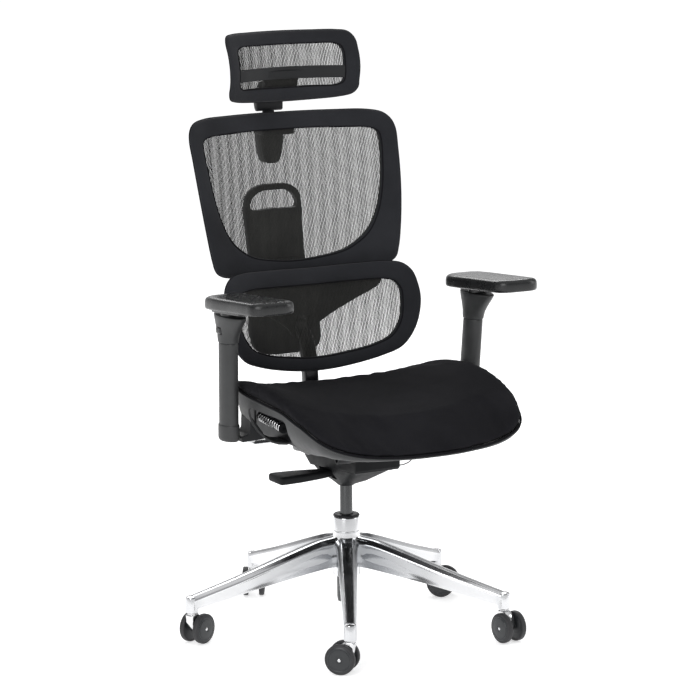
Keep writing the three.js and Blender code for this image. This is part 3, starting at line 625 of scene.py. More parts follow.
def socket(angle):
    x, y = STEM_CIRCLE * math.sin(rad(angle)), -STEM_CIRCLE * math.cos(rad(angle))
    r, low, high = SOCKET["radius"], SOCKET["low"], SOCKET["high"]
    return shifted(turned([(6, low), (r - 1, low), (r, low + 1), (r, high - 5), (r - 1.2, high - 1.6),
                           (r - 4, high - 0.2), (0.5, high)], 40), x, y, 0)


def hub():
    r, low, high = HUB["radius"], HUB["low"], HUB["high"]
    return turned([(20.4, low), (r, low), (r + 1, low + 1), (r + 2, 188), (r + 1.6, 193), (r, 199),
                   (r, high - 2), (r - 0.7, high - 0.5), (r - 2, high), (20.4, high)], 96, True)


star = merged(hub(), *[leg(a) for a in LEG_ANGLES], *[socket(a) for a in LEG_ANGLES])
star_base = piece("star_base_cast", star, CAST, "base", "star_base", sharp=38)
add_bevel(star_base, 0.8, 2, 40)
HUB_RING = [(26.1, 203), (26.5, 203.6), (26.5, 205), (26.1, 205.6), (25.8, 205), (25.8, 203.6)]
piece("hub_ring", turned(HUB_RING, 96, True), POLISHED, "base")

# ---- Casters -------------------------------------------------------------------------------
CASTER_HEADINGS = (136, 277, 311, 62, 26)
TRAIL = 16
WHEEL = {"radius": 30, "width": 12, "inner": 11.2}


def caster_place(i):
    a = rad(LEG_ANGLES[i])
    at = Vector((STEM_CIRCLE * math.sin(a), -STEM_CIRCLE * math.cos(a), WHEEL["radius"]))
    turn = Matrix.Rotation(rad(CASTER_HEADINGS[i] - 90), 4, "Z")
    return Matrix.Translation(at) @ turn @ Matrix.Translation((0, TRAIL, 0))


def wheel_tyre(side):
    r = WHEEL["radius"]
    profile = [(r - 4.5, 0.4), (r - 1.6, 0), (r - 0.4, 0.7), (r, 2), (r, 8.6), (r - 0.5, 9.9), (r - 2, 10.8),
               (r - 4.5, 11.0)]
    return along_x(profile, 72, side * WHEEL["inner"], side=side, ring=True)


def wheel_disc(side):
    r = WHEEL["radius"] - 4.4
    profile = [(3.4, 1.2), (r, 1.2), (r, 10.6), (r - 1.4, 11.5), (r - 3, 11.9), (r - 3.8, 11.4),
               (r - 4.6, 11.4), (r - 5.4, 12.2), (16, 12.9), (10, 13.1), (6.4, 13.2), (5.8, 12.5),
               (3.4, 12.5)]
    return along_x(profile, 72, side * WHEEL["inner"], side=side, ring=True)


def axle_cap(side):
    profile = [(0.3, 10), (3.2, 10), (3.2, 12.9), (2.4, 13.5), (0.3, 13.7)]
    return along_x(profile, 28, side * WHEEL["inner"], side=side)


def fork():
    """Bright hood between the wheels, with its stem and axle."""
    hood = spline_loop([(-25, 30), (-25, 20), (-24, 10), (-18, 0), (-6, -8), (3, -8.4), (8, -3), (9, 8),
                        (6, 20), (-1, 28), (-9, 31.5), (-17, 32)], 72)
    body = slab(hood, -9, 9, [(0, 2.2), (0.6, 0.8), (2, 0)])
    stem = turned([(5, 30), (5, 58), (4, 60.5)], 32)
    flange = turned([(8.5, 31), (9, 31.6), (9, 33.4), (8.5, 34)], 40)
    axle = along_x([(3, -23), (3, 23)], 24)
    return merged(body, shifted(merged(stem, flange), 0, -TRAIL, 0), axle)


for i in range(len(CASTER_HEADINGS)):
    place = caster_place(i)
    n = i + 1
    caster = f"caster_{n}"
    hood = piece(f"{caster}_hood", moved(fork(), place), CHROME, caster, f"{caster}_fork", sharp=50)
    add_bevel(hood, 0.5, 2, 50)
    for letter, side in (("a", 1), ("b", -1)):
        wheel = f"{caster}_wheel_{letter}"
        name = f"wheel_{n}{letter}"
        piece(f"{name}_disc", moved(wheel_disc(side), place), WHEEL_PLASTIC, wheel, wheel, sharp=35)
        piece(f"{name}_tread", moved(wheel_tyre(side), place), TREAD, wheel, sharp=50)
        piece(f"{name}_cap", moved(axle_cap(side), place), CHROME, wheel, sharp=50)

# ---- Column --------------------------------------------------------------------------------
OUTER_TUBE = [(6, 59), (17.5, 59), (18.5, 59.6), (20, 70), (20, 232.6), (18.5, 233), (18.5, 62), (6, 62)]
CAP_RING = [(13.5, 233.4), (25, 233.4), (26.2, 234), (26.5, 235.4), (26, 237), (24.6, 238.2), (20, 238.9),
            (15.5, 239), (13.9, 238.6), (13.5, 237.6)]
GAS_CYLINDER = [(6, 150), (12.5, 150), (12.5, 351), (12, 352), (6, 352)]

piece("column_tube", turned(OUTER_TUBE, 72, True), COLUMN, "base", "column_outer_tube", sharp=30)
piece("column_cap_ring", turned(CAP_RING, 96, True), DARK_PLASTIC, "base", "column_collar", sharp=40)
piece("lift_cylinder", turned(GAS_CYLINDER, 72, True), COLUMN, "mechanism", "gas_cylinder", sharp=30)

# ---- Mechanism -----------------------------------------------------------------------------
SEAT_PIVOT = (-105, 378)
BACK_PIVOT = (45, 370)
PIVOT_BORE = 5.2
HOUSING_POCKET = (-46, 46, -130, 83, 356, 400)
LEVER_OPENING = {"near": 27, "far": 60, "half": 26, "low": 316, "high": 337}


def housing_floor(y):
    return lerp(349, 332, min(1, max(0, (y + 135) / 195)))


def housing():
    loops = []
    for x, shrink in ((-50, 3), (-49, 1), (-46.5, 0), (46.5, 0), (49, 1), (50, 3)):
        loops.append([(x, y, z) for y, z in (
            (-131 + shrink, 386 - shrink), (-135 + shrink, 381 - shrink), (-135 + shrink, 354),
            (-131 + shrink, housing_floor(-131) + shrink), (-60, housing_floor(-60) + shrink),
            (0, housing_floor(0) + shrink), (60, housing_floor(60) + shrink), (80 - shrink, 344 + shrink),
            (88 - shrink, 352), (88 - shrink, 379 - shrink), (35, 379 - shrink), (-85, 386 - shrink))])
    return loft(loops)


mechanism = piece("mechanism_body", housing(), BLACK_PLASTIC, "mechanism", "mechanism_housing", sharp=30)
cut_by(mechanism, box(*HOUSING_POCKET), turned([(12.8, 320), (12.8, 400)], 48),
       *[along_x([(PIVOT_BORE, -80), (PIVOT_BORE, 80)], 24, 0, y, z) for y, z in (SEAT_PIVOT, BACK_PIVOT)])
add_bevel(mechanism, 1.2, 2, 30)


def cover():
    rim = rounded_box(-47, 47, -122, 58, 14, 8)
    neck = rounded_box(-46, 46, -110, 56, 18, 8)
    waist = rounded_box(-44, 44, -96, 50, 20, 8)
    keel = rounded_box(-30, 30, -50, 38, 20, 8)
    low = rounded_box(-21, 21, -26, 24, 19, 8)
    foot = rounded_box(-18, 18, -18, 18, 17.9, 8)
    bottom = rounded_box(-16.5, 16.5, -16.5, 16.5, 16.4, 8)
    hull = [[(x, y, housing_floor(y) - drop) for x, y in outline]
            for outline, drop in ((rim, 0.4), (neck, 4), (waist, 10))]
    return loft(hull + [flat(keel, 312), flat(low, 303), flat(foot, 299.5), flat(bottom, 298)])


shroud = piece("mechanism_shroud", cover(), BLACK_PLASTIC, "mechanism", "mechanism_cover", sharp=34)
o = LEVER_OPENING
cut_by(shroud, turned([(13.2, 280), (13.2, 360)], 48),
       box(o["near"], o["far"], -o["half"], o["half"], o["low"], o["high"]),
       box(-o["far"], -o["near"], -o["half"], o["half"], o["low"], o["high"]))
add_bevel(shroud, 1.0, 2, 34)


LEVER_HEIGHT = 326


def paddle(s, length, half_wide, half_thick):
    """Flat lever that widens towards its end, from stations along it and shares of its sizes there."""
    loops = []
    for x, w, t in ((30, 0.40, 0.8), (40, 0.42, 0.85), (50, 0.5, 0.88), (62, 0.62, 0.92), (80, 0.74, 0.96),
                    (length * 0.7, 0.95, 1), (length - 12, 1.06, 1), (length - 5, 1.07, 0.97),
                    (length - 1.5, 1.02, 0.85), (length, 0.94, 0.62)):
        wide, thick = half_wide * w, half_thick * t
        outline = rounded_box(-wide - 2, wide - 2, LEVER_HEIGHT - thick, LEVER_HEIGHT + thick,
                              thick * 0.72, 7)
        loops.append(across(outline, s * x))
    return loft(loops)


for node, shape in (("height", paddle(-1, 161, 27, 8.5)), ("tilt_lock", paddle(1, 96, 24, 4.5))):
    piece(f"{node}_paddle", shape, BLACK_PLASTIC, f"{node}_lever", f"{node}_lever", sharp=50)


SPRING = {"x": 165, "front": -54, "rear": 45, "low": 438, "high": 446, "radius": 8.4, "wire": 1.9,
          "turns": 10}


def spring_axis(s, f, reach=0.0):
    """Point on a spring's middle line; f runs from its front end to its rear end."""
    y = lerp(SPRING["front"] + reach, SPRING["rear"] - reach, f)
    share = (y - SPRING["front"]) / (SPRING["rear"] - SPRING["front"])
    return s * SPRING["x"], y, lerp(SPRING["low"], SPRING["high"], share)


def coil(s):
    """Compression spring on its guide rod, between two cups."""
    steps = 22
    count = SPRING["turns"] * steps
    points = []
    for k in range(count + 1):
        a = 2 * math.pi * k / steps
        x, y, z = spring_axis(s, k / count, 3)
        points.append((x + SPRING["radius"] * math.cos(a), y, z + SPRING["radius"] * math.sin(a)))
    rod = tube([spring_axis(s, 0), spring_axis(s, 1)], 3.8, 20)
    cups = [tube([spring_axis(s, f) for f in ends], 10.4, 28) for ends in ((0, 0.035), (0.965, 1))]
    return tube(points, SPRING["wire"], 10), merged(rod, *cups)


for name, s in SIDES:
    wire, rod = coil(s)
    piece(f"tilt_coil_{name}", wire, CHROME, "seat", f"tilt_spring_{name}")
    piece(f"tilt_coil_guide_{name}", rod, BLACK_PLASTIC, "seat", sharp=40)

# ---- Seat ----------------------------------------------------------------------------------
SEAT_SHAPE = [(0, 122), (110, 122), (190, 104), (228, 60), (243, 0), (246, -100), (245, -200), (238, -270),
              (215, -324), (160, -350), (80, -357), (0, -357)]
SEAT_MIDDLE = np.array((0.0, -110.0))
SEAT_HALF_WIDTH = 235
SEAM_SIDE = [(-357, 450), (-266, 485), (-193, 504), (-44, 512), (0, 518), (60, 515), (122, 505)]
SEAM_MIDDLE = [(-357, 424), (-250, 440), (-100, 460), (122, 478)]
CROWN_SIDE = [(-357, 460), (-314, 484), (-279, 502), (-228, 519), (-170, 534), (-93, 543), (8, 536),
              (60, 529), (122, 516)]
CROWN_MIDDLE = [(-357, 430), (-335, 458), (-300, 478), (-240, 488), (-100, 490), (40, 493), (122, 499)]


def sideways(x):
    """Share of the way from the seat's middle line to its side, slow at first."""
    return min(1, abs(x) / SEAT_HALF_WIDTH) ** 2.2


def seam(x, y):
    return lerp(smooth_table(SEAM_MIDDLE, y, 20), smooth_table(SEAM_SIDE, y, 20), sideways(x))


def crown(x, y):
    return lerp(smooth_table(CROWN_MIDDLE, y, 10), smooth_table(CROWN_SIDE, y, 16), sideways(x))


def scaled(outline, k, centre):
    return centre + (outline - centre) * k


def cushion_shape(shrink, drop, count=180):
    """The cushion as loops: bottom, seam, rolled edge and top."""
    outline = mirrored(SEAT_SHAPE, count)
    # Share of the outline, height over the seam, and share of the way from seam to crown.
    levels = [(0.25, -4, 0), (0.6, -4, 0), (0.9, -4, 0), (0.965, -3, 0), (0.985, 0, 0), (0.995, 0, 0.22),
              (1.0, 0, 0.45), (0.995, 0, 0.68), (0.982, 0, 0.86), (0.955, 0, 0.97), (0.92, 0, 1), (0.8, 0, 1),
              (0.6, 0, 1), (0.4, 0, 1), (0.2, 0, 1), (0.05, 0, 1)]
    loops = []
    for k, lift, f in levels:
        ring = scaled(outline, k * shrink, SEAT_MIDDLE)
        loops.append([(x, y, lerp(seam(x, y) + lift, crown(x, y) - drop, f)) for x, y in ring])
    return loft(loops)


def inflate(obj, cap, pinned, pressure=4.0, frames=20):
    """Cloth run on the remeshed pad; no point moves more than cap, and pinned points stay put."""
    mesh = obj.data
    rest = np.array([v.co[:] for v in mesh.vertices])
    group = obj.vertex_groups.new(name="pinned")
    for v in mesh.vertices:
        hold = pinned(*(v.co / MM))
        if hold > 0:
            group.add([v.index], hold, "REPLACE")
    cloth = obj.modifiers.new("cloth", "CLOTH")
    settings = cloth.settings
    settings.quality = 6
    settings.mass = 0.35
    settings.tension_stiffness = settings.compression_stiffness = 22
    settings.shear_stiffness = 12
    settings.bending_stiffness = 1.2
    settings.use_pressure = True
    settings.uniform_pressure_force = pressure
    settings.vertex_group_mass = "pinned"
    settings.effector_weights.gravity = 0
    settings.shrink_min = -0.012
    cloth.collision_settings.use_collision = False
    cloth.point_cache.frame_start = 1
    cloth.point_cache.frame_end = frames
    scene = bpy.context.scene
    for frame_number in range(1, frames + 1):
        scene.frame_set(frame_number)
    graph = bpy.context.evaluated_depsgraph_get()
    done = obj.evaluated_get(graph).to_mesh()
    moved_to = np.array([v.co[:] for v in done.vertices])
    step = moved_to - rest
    length = np.linalg.norm(step, axis=1)
    step *= np.minimum(1, cap * MM / np.maximum(length, 1e-9))[:, None]
    obj.modifiers.clear()
    obj.vertex_groups.clear()
    for v, co in zip(mesh.vertices, rest + step):
        v.co = co
    scene.frame_set(1)


def remesh(obj, voxel):
    change = obj.modifiers.new("remesh", "REMESH")
    change.mode = "VOXEL"
    change.voxel_size = voxel * MM
    change.use_smooth_shade = True
    bake_modifiers(obj)


def relax(obj, rounds, factor=0.5):
    smooth = obj.modifiers.new("relax", "SMOOTH")
    smooth.iterations = rounds
    smooth.factor = factor
    bake_modifiers(obj)


def seat_hold(x, y, z):
    """The covering is fixed along the bottom and its seam, and eases off above it."""
    return 1 - smooth_step((z - seam(x, y) - 1) / 10)


cushion = piece("seat_pad", cushion_shape(0.99, 6), SEAT_CLOTH, "seat", "seat_cushion")
remesh(cushion, 5.5)
relax(cushion, 6)
inflate(cushion, 8, seat_hold)
relax(cushion, 2)
smooth = cushion.modifiers.new("subdivide", "SUBSURF")
smooth.levels = smooth.render_levels = 1


def seat_line(k, lift, count=260):
    outline = scaled(mirrored(SEAT_SHAPE, count), k, SEAT_MIDDLE)
    return [(x, y, seam(x, y) + lift) for x, y in outline]


piece("seat_piping", tube(seat_line(0.985, -1.5), 2.2, 10, closed=True), PIPING, "seat")


PAN_FLOOR = 402
PAN_RIM = 0.975  # share of the cushion's outline that the pan's rim follows


def seat_pan():
    """Moulded bowl under the cushion, thinning to its rim."""
    count = 200
    outline = mirrored(SEAT_SHAPE, count)
    base = rounded_box(-112, 112, -250, 66, 40, 40)
    angle = np.arctan2(base[:, 1] - SEAT_MIDDLE[1], base[:, 0])
    order = np.argsort(angle)
    reach = np.hypot(base[:, 0], base[:, 1] - SEAT_MIDDLE[1])[order]
    at = np.arctan2(outline[:, 1] - SEAT_MIDDLE[1], outline[:, 0])
    r = np.interp(at, angle[order], reach, period=2 * math.pi)
    inner = np.stack([r * np.cos(at), SEAT_MIDDLE[1] + r * np.sin(at)], axis=1)

    def skin(out, drop, thick):
        loop = []
        for (x, y), (bx, by) in zip(outline, inner):
            px = lerp(bx, x * PAN_RIM, out)
            py = lerp(by, SEAT_MIDDLE[1] + (y - SEAT_MIDDLE[1]) * PAN_RIM, out)
            shrink = 1 - (thick if out > 0.3 else 0) / 240
            low = PAN_FLOOR + 10 * smooth_step((-140 - by) / 100) + (thick * 0.4 if out > 0.3 else thick)
            loop.append((px * shrink, SEAT_MIDDLE[1] + (py - SEAT_MIDDLE[1]) * shrink,
                         lerp(low, seam(x, y) - 5, drop)))
        return loop

    stations = [(0, 0), (0.18, 0.02), (0.35, 0.07), (0.54, 0.165), (0.72, 0.3), (0.85, 0.44), (0.94, 0.62),
                (0.98, 0.78), (1, 0.93), (1, 1)]
    loops = [skin(out, drop, 0) for out, drop in stations]
    loops += [skin(out, drop, 4.5 if out > 0 else 4) for out, drop in stations[::-1]]
    return loft(loops)


pan = piece("seat_shell", seat_pan(), GREY_PLASTIC, "seat", "seat_pan", sharp=50)


# Front, rear, low and high limits of the openings in the pan's side walls, and their corner radius.
SIDE_WINDOWS = ((-205, -42, 330, 486, 14), (8, 56, 330, 490, 10), (55, 150, 330, 468, 2))
REAR_OPENING = (-140, 140, 70, 200, 330, 462)
TRAY_LEVELS = ((403, 3), (404, 1), (407, 0), (430, 0), (446, 1), (455, 4))


def side_window(s, y0, y1, low, high, radius):
    return loft([across(rounded_box(y0, y1, low, high, radius, 6), s * x) for x in (113, 320)])


cut_by(pan, *[side_window(s, *limits) for s in (1, -1) for limits in SIDE_WINDOWS], box(*REAR_OPENING))
add_bevel(pan, 1.4, 2, 40)
tray = loft([flat(inset(rounded_box(-100, 100, -214, 66, 22, 8), amount), z) for z, amount in TRAY_LEVELS])
piece("seat_tray", tray, DARK_PLASTIC, "seat", sharp=60)


def side_liner(s):
    """Dark wall inside the shell's side window, behind the spring, up to the cushion."""
    loops = []
    for y in np.linspace(-162, 112, 16):
        section = ((113.5, 401), (146, 401), (148, 405), (148, seam(148, y) - 7), (113.5, seam(114, y) - 7))
        loops.append([(s * x, y, z) for x, z in section])
    return loft(loops)


def side_panel(s):
    """Upright panel that carries the arm's knee, from the shell's rim down past the window."""
    loops = []
    for y, amount in ((0, 1.4), (1, 0.3), (3, 0), (60, 0), (61.4, 0.3), (62, 1.4)):
        top = seam(200, y) - 9 - amount
        loops.append([(s * x, y, z) for x, z in ((197 + amount, 411 + amount), (201 - amount, 411 + amount),
                                                 (202 - amount, top), (197 + amount, top))])
    return loft(loops)


for side_name, s in SIDES:
    panel = piece(f"seat_side_panel_{side_name}", side_panel(s), GREY_PLASTIC, "seat", sharp=40)
    add_bevel(panel, 0.8, 2, 40)
    liner = piece(f"seat_liner_{side_name}", side_liner(s), DARK_PLASTIC, "seat", sharp=40)
    add_bevel(liner, 1, 2, 40)
    bar = loft([[(s * x, y, z) for y, z in rounded_box(8, 34, 397.6, 400.6, 0.8, 4)] for x in (102, 199)])
    piece(f"arm_mount_bar_{side_name}", bar, CHROME, "seat", sharp=30)
piece("seat_trim", tube(seat_line(0.982, -5.4), 1.9, 8, closed=True), GREY_PLASTIC, "seat")
CATCH = [(5, 0), (8, 0), (8.5, 0.6), (8.5, 49), (7.6, 50), (5.4, 50), (5, 49.4)]
CATCH_PLACE = (-62, -172, 391)
piece("depth_catch", along_x(CATCH, 40, *CATCH_PLACE, -1, True), DARK_PLASTIC, "slide_release_lever",
      "slide_release_lever", sharp=40)

# ---- Arms ----------------------------------------------------------------------------------
PAD_TILT = 0.071
PAD_THICK = 25
PAD_OUTLINE = [(0, 12), (24, 10), (41, -6), (47, -40), (47, -120), (47, -190), (44, -218), (28, -232),
               (0, -234)]
ARM = {"x": 268, "y": -20, "z": 420, "lean_x": 0.0297, "lean_y": -0.0765}
PAD_HEIGHT = 692.5  # at the post's own middle line


def arm_axis(s, z):
    t = z - ARM["z"]
    return s * (ARM["x"] + ARM["lean_x"] * t), ARM["y"] + ARM["lean_y"] * t


def arm_loop(s, z, rx, ry, shift=0.0, count=56):
    x, y = arm_axis(s, z)
    return flat(oval(x, y + shift, rx, ry, count), z)


def pad_height(y):
    return PAD_HEIGHT - PAD_TILT * y


def pad_loop(s, outline, amount, lift):
    """Outline moved in by an amount and set at a height over the pad's sloping middle."""
    return [(s * ARM["x"] + u, y, pad_height(y) + lift) for u, y in inset(outline, amount)]


def arm_pad(s):
    outline = mirrored(PAD_OUTLINE, 120)
    half = PAD_THICK / 2
    middle = np.array((0.0, -111.0))
    edge = [(7, -half), (2.6, -half + 0.7), (0.8, -half + 2.4), (0, -half + 5.5), (0, half - 11),
            (0.5, half - 7.5), (1.8, half - 4.6), (4.2, half - 2.2), (7.5, half - 0.8), (11, half)]
    loops = [pad_loop(s, scaled(outline, 0.4, middle), 0, -half)]
    loops += [pad_loop(s, outline, amount, lift) for amount, lift in edge]
    loops += [pad_loop(s, scaled(outline, k, middle), 0, half - dish) for k, dish in
              ((0.66, 0.3), (0.5, 0.8), (0.3, 1.2), (0.08, 1.4))]
    return loft(loops)


KNEE = [(200, 418), (248.6, 416), (248.6, 428), (236, 431), (231, 440), (230, 463), (226, 463), (203, 431)]
# Height and the two half widths of the post's outside, of its bore, and of the flared head.
POST_OUTSIDE = [(420, 15.5, 25.5), (420.8, 16.6, 26.8), (424, 18.2, 28.6), (427, 18.5, 29), (449.5, 18.5, 29),
                (451.6, 18.1, 28.6), (452.6, 17.2, 27.9), (453, 16.6, 27.4), (454.5, 16.5, 27.2),
                (540, 16.6, 27), (612, 16.6, 26.5), (615, 16.3, 26.2), (616, 15.6, 25.5)]
POST_BORE = [(616, 12.9, 22.9), (615, 12.4, 22.4), (560, 12.4, 22.4), (462, 12.4, 22.4)]
HEAD_STEM = [(480, 12, 22), (622, 12, 22)]
HEAD_CUP = [(616.4, 16.6, 26.6, 0), (617.2, 17.8, 27.8, 0), (623, 18.6, 28.6, 0), (632, 19, 31, -1),
            (642, 19.8, 37, -3), (652, 21, 44, -5), (664, 22, 53, -8), (669, 22.2, 55.6, -9),
            (670.6, 21.6, 55.2, -9), (671, 20.6, 54.4, -9)]
BUTTON_HEIGHT = 641
BUTTON_FACE = rounded_box(-45.2, -24.8, BUTTON_HEIGHT - 6.2, BUTTON_HEIGHT + 6.2, 3.4, 7)
BUTTON_SECTIONS = ((11.6, 0), (19.8, 0), (20.8, 0.6), (21.4, 1.8), (21.6, 4))
SLIDER_SECTIONS = [(-18.4, 2.2), (-17.8, 0.6), (-16.6, 0), (-13.4, 0), (-13.0, 0.4)]


def arm_stack(s, sections):
    """Loops up an arm from (height, half width, half depth, optional shift) sections."""
    return [arm_loop(s, *section) for section in sections]


def pad_slider(s):
    """Turret on the arm's head and the plate that carries the pad."""
    x, y = arm_axis(s, 675)
    turret = shifted(turned([(17, 671.4), (19, 672), (19, 677), (18, 678)], 56), x, y - 10, 0)
    outline = rounded_box(x - 26, x + 26, -150, -8, 16, 10)
    plate_loops = [[(u, v, pad_height(v) + lift) for u, v in inset(outline, amount)]
                   for lift, amount in SLIDER_SECTIONS]
    return merged(turret, loft(plate_loops))


for name, s in SIDES:
    knee_shape = loft([facing([(s * x, z) for x, z in KNEE], y) for y in (-40, 4)])
    knee = piece(f"arm_knee_{name}", knee_shape, DARK_PLASTIC, "seat", f"arm_bracket_{name}", sharp=30)
    add_bevel(knee, 2.2, 3, 30)
    post_shape = loft(arm_stack(s, POST_OUTSIDE) + arm_stack(s, POST_BORE))
    piece(f"arm_sleeve_{name}", post_shape, GREY_PLASTIC, "seat", f"arm_post_{name}", sharp=50)

    head = f"arm_head_{name}"
    head_shape = merged(loft(arm_stack(s, HEAD_STEM)), loft(arm_stack(s, HEAD_CUP)))
    arm_head = piece(f"arm_cup_{name}", head_shape, GREY_PLASTIC, head, head, sharp=50)
    middle = ARM["x"] + ARM["lean_x"] * (BUTTON_HEIGHT - ARM["z"])
    near, far = sorted((s * (middle + 7.5), s * (middle + 40)))
    cut_by(arm_head, box(near, far, -46.4, -23.6, BUTTON_HEIGHT - 7.4, BUTTON_HEIGHT + 7.4))
    add_bevel(arm_head, 0.7, 2, 55)

    body = f"arm_button_{name}"
    button = loft([across(inset(BUTTON_FACE, amount), s * (middle + x)) for x, amount in BUTTON_SECTIONS])
    piece(f"arm_height_button_{name}", button, GLOSS_PLASTIC, body, body, sharp=50)
    body = f"pad_plate_{name}"
    piece(f"pad_slider_{name}", pad_slider(s), GLOSS_PLASTIC, body, body, sharp=40)
    pad = piece(f"arm_cushion_{name}", arm_pad(s), PAD_SKIN, f"arm_pad_{name}", f"arm_pad_{name}", sharp=60)

# ---- Back: shared surfaces -----------------------------------------------------------------
def upper_depth(x, z):
    return 147 + 0.19 * (z - 768) + 0.0004 * (z - 768) ** 2 + 60 * (1 - (x / 230) ** 2)


def lumbar_depth(x, z):
    return 65 + 0.19 * (z - 540) + 45 * (1 - (x / 210) ** 2)


def head_depth(x, z):
    return 191 + 0.0055 * (z - 1105) ** 2 + 55 * (1 - (x / 147) ** 2)


def spine_depth(x, z):
    return smooth_table([(525, 244), (709, 288), (816, 308), (870, 304)], z, 24)


BACKS = {
    "upper": {
        "nodes": ("upper_frame", "upper_mesh"),
        "depth": upper_depth, "thick": 13, "body": "upper_back", "lift": 5,
        "outer": [(0, 1018), (117, 1018), (186, 1017), (214, 1011), (227, 999), (233, 981), (232, 940),
                  (227, 862), (219, 790), (211, 742), (204, 721), (188, 710), (145, 702), (80, 696),
                  (0, 692)],
        "inner": [(0, 984), (125, 983), (186, 980), (197, 974), (200, 960), (197, 920), (190, 870),
                  (177, 820), (156, 780), (131, 756), (103, 740), (60, 730), (0, 725)],
        "flat": (0.420, 0.275),
    },
    "lumbar": {
        "nodes": ("lumbar_frame", "lumbar_mesh"),
        "depth": lumbar_depth, "thick": 13, "body": "lumbar", "lift": 5,
        "outer": [(0, 716), (110, 719), (165, 720), (193, 715), (210, 700), (219, 672), (221, 640),
                  (208, 590), (180, 551), (139, 533), (66, 517), (0, 512)],
        "inner": [(0, 682), (90, 684), (148, 685), (172, 680), (183, 664), (184, 642), (178, 604), (158, 573),
                  (122, 556), (68, 545), (0, 539)],
        "flat": (0.388, 0.158),
    },
    "head": {
        "nodes": ("headrest_frame", "headrest_mesh"),
        "depth": head_depth, "thick": 12, "body": "headrest", "lift": 8.2,
        "outer": [(0, 1183), (70, 1183), (118, 1183), (137, 1180), (145, 1168), (146, 1145), (146, 1115),
                  (145, 1085), (145, 1068), (138, 1056), (117, 1049), (60, 1043), (0, 1041)],
        "inner": [(0, 1157), (60, 1157), (103, 1157), (114, 1153), (118, 1144), (118, 1120), (118, 1095),
                  (116, 1081), (106, 1075), (60, 1073), (0, 1072)],
        "flat": (0.260, 0.098),
    },
}
# How far in across the border, and how far behind its front, each line of its section lies.
BORDER_SECTION = [(0, 6.5), (0.012, 4), (0.05, 1.6), (0.12, 0.1), (0.24, -0.9), (0.45, -1.5), (0.66, -1.3),
                  (0.82, -0.4), (0.92, 1.1), (0.975, 2.9), (1.0, 5)]


def border(kind):
    b = BACKS[kind]
    thick = b["thick"]
    outer, inner = mirrored(b["outer"], 240), mirrored(b["inner"], 240)
    rear = [(1.0, thick - 1.5), (0.965, thick), (0.5, thick + 0.4), (0.04, thick), (0, thick - 1.8)]
    return loft([upright(lerp(outer, inner, s), b["depth"], lift) for s, lift in BORDER_SECTION + rear], True)


def border_line(kind, s, lift):
    b = BACKS[kind]
    return upright(lerp(mirrored(b["outer"], 300), mirrored(b["inner"], 300), s), b["depth"], lift)


def inside(outline, at, axis, step):
    """Evenly spaced places where a straight line runs inside an outline; none where that is short."""
    a, b = outline, np.roll(outline, -1, axis=0)
    hit = (a[:, axis] - at) * (b[:, axis] - at) < 0
    t = (at - a[hit, axis]) / (b[hit, axis] - a[hit, axis])
    other = a[hit, 1 - axis] + t * (b[hit, 1 - axis] - a[hit, 1 - axis])
    if len(other) < 2 or np.ptp(other) < 4:
        return []
    return np.linspace(other.min(), other.max(), max(3, int(np.ptp(other) / step)))


def yarn_section(x, y, z, half_x, half_z, thick):
    return [(x - half_x, y, z - half_z), (x, y - thick, z), (x + half_x, y, z + half_z), (x, y + thick, z)]


RIB = {"pitch": 3.0, "half": 0.84, "thick": 0.36, "step": 6.5, "wave": 0.3}
WEFT = {"pitch": 2.1, "half": 0.46, "thick": 0.26, "step": 9.0}
TUCK = 4.0


def net(kind):
    """Knitted net: slightly wavy upright ribs crossed by thinner level threads, each a closed yarn."""
    b = BACKS[kind]
    depth, lift = b["depth"], b["lift"]
    outline = inset(mirrored(b["inner"], 240), -TUCK)
    low, high = outline.min(axis=0), outline.max(axis=0)
    strands = []
    for k, x in enumerate(np.arange(low[0] + 1.2, high[0] - 1, RIB["pitch"])):
        sway = RIB["wave"] * (1 if k % 2 else -1)
        loops = []
        for j, z in enumerate(inside(outline, x, 0, RIB["step"])):
            cx = x + sway * (1 if j % 2 else -1)
            half = RIB["half"] * (1 + 0.3 * math.sin(2.4 * k) * math.sin(0.031 * z + 1.7 * k))
            loops.append(yarn_section(cx, depth(cx, z) + lift, z, half, 0, RIB["thick"]))
        strands.append(loops)
    for z in np.arange(low[1] + 1.2, high[1] - 1, WEFT["pitch"]):
        strands.append([yarn_section(x, depth(x, z) + lift, z, 0, WEFT["half"], WEFT["thick"])
                        for x in inside(outline, z, 1, WEFT["step"])])
    return merged(*[loft(loops) for loops in strands if loops])


def outline_area(outline):
    x, z = outline[:, 0], outline[:, 1]
    return abs(np.dot(x, np.roll(z, -1)) - np.dot(z, np.roll(x, -1))) / 2 * 1e-6


for kind, b in BACKS.items():
    frame_node, net_node = b["nodes"]
    edge = piece(f"{kind}_border", border(kind), BORDER_CLOTH, b["body"], frame_node, sharp=70)
    piece(f"{kind}_border_seam", tube(border_line(kind, 0.955, 1.6), 1.3, 8, closed=True), PIPING, b["body"])
    piece(f"{kind}_border_edge", tube(border_line(kind, 0.0, 7.5), 1.2, 8, closed=True), PIPING, b["body"])
    weave = piece(f"{kind}_net", net(kind), NET_YARN, b["body"], net_node)
    area = outline_area(inset(mirrored(b["inner"], 240), -TUCK)) * 1.03

# ---- Spine, upright and yoke ---------------------------------------------------------------
bridge_face = rounded_box(-44, 44, 699, 716, 5, 6)
bridge = loft([upright(bridge_face, upper_depth, 8), upright(bridge_face, spine_depth, -2)])
add_bevel(piece("frame_bridge", bridge, DARK_PLASTIC, "upper_back", sharp=40), 1, 2, 50)


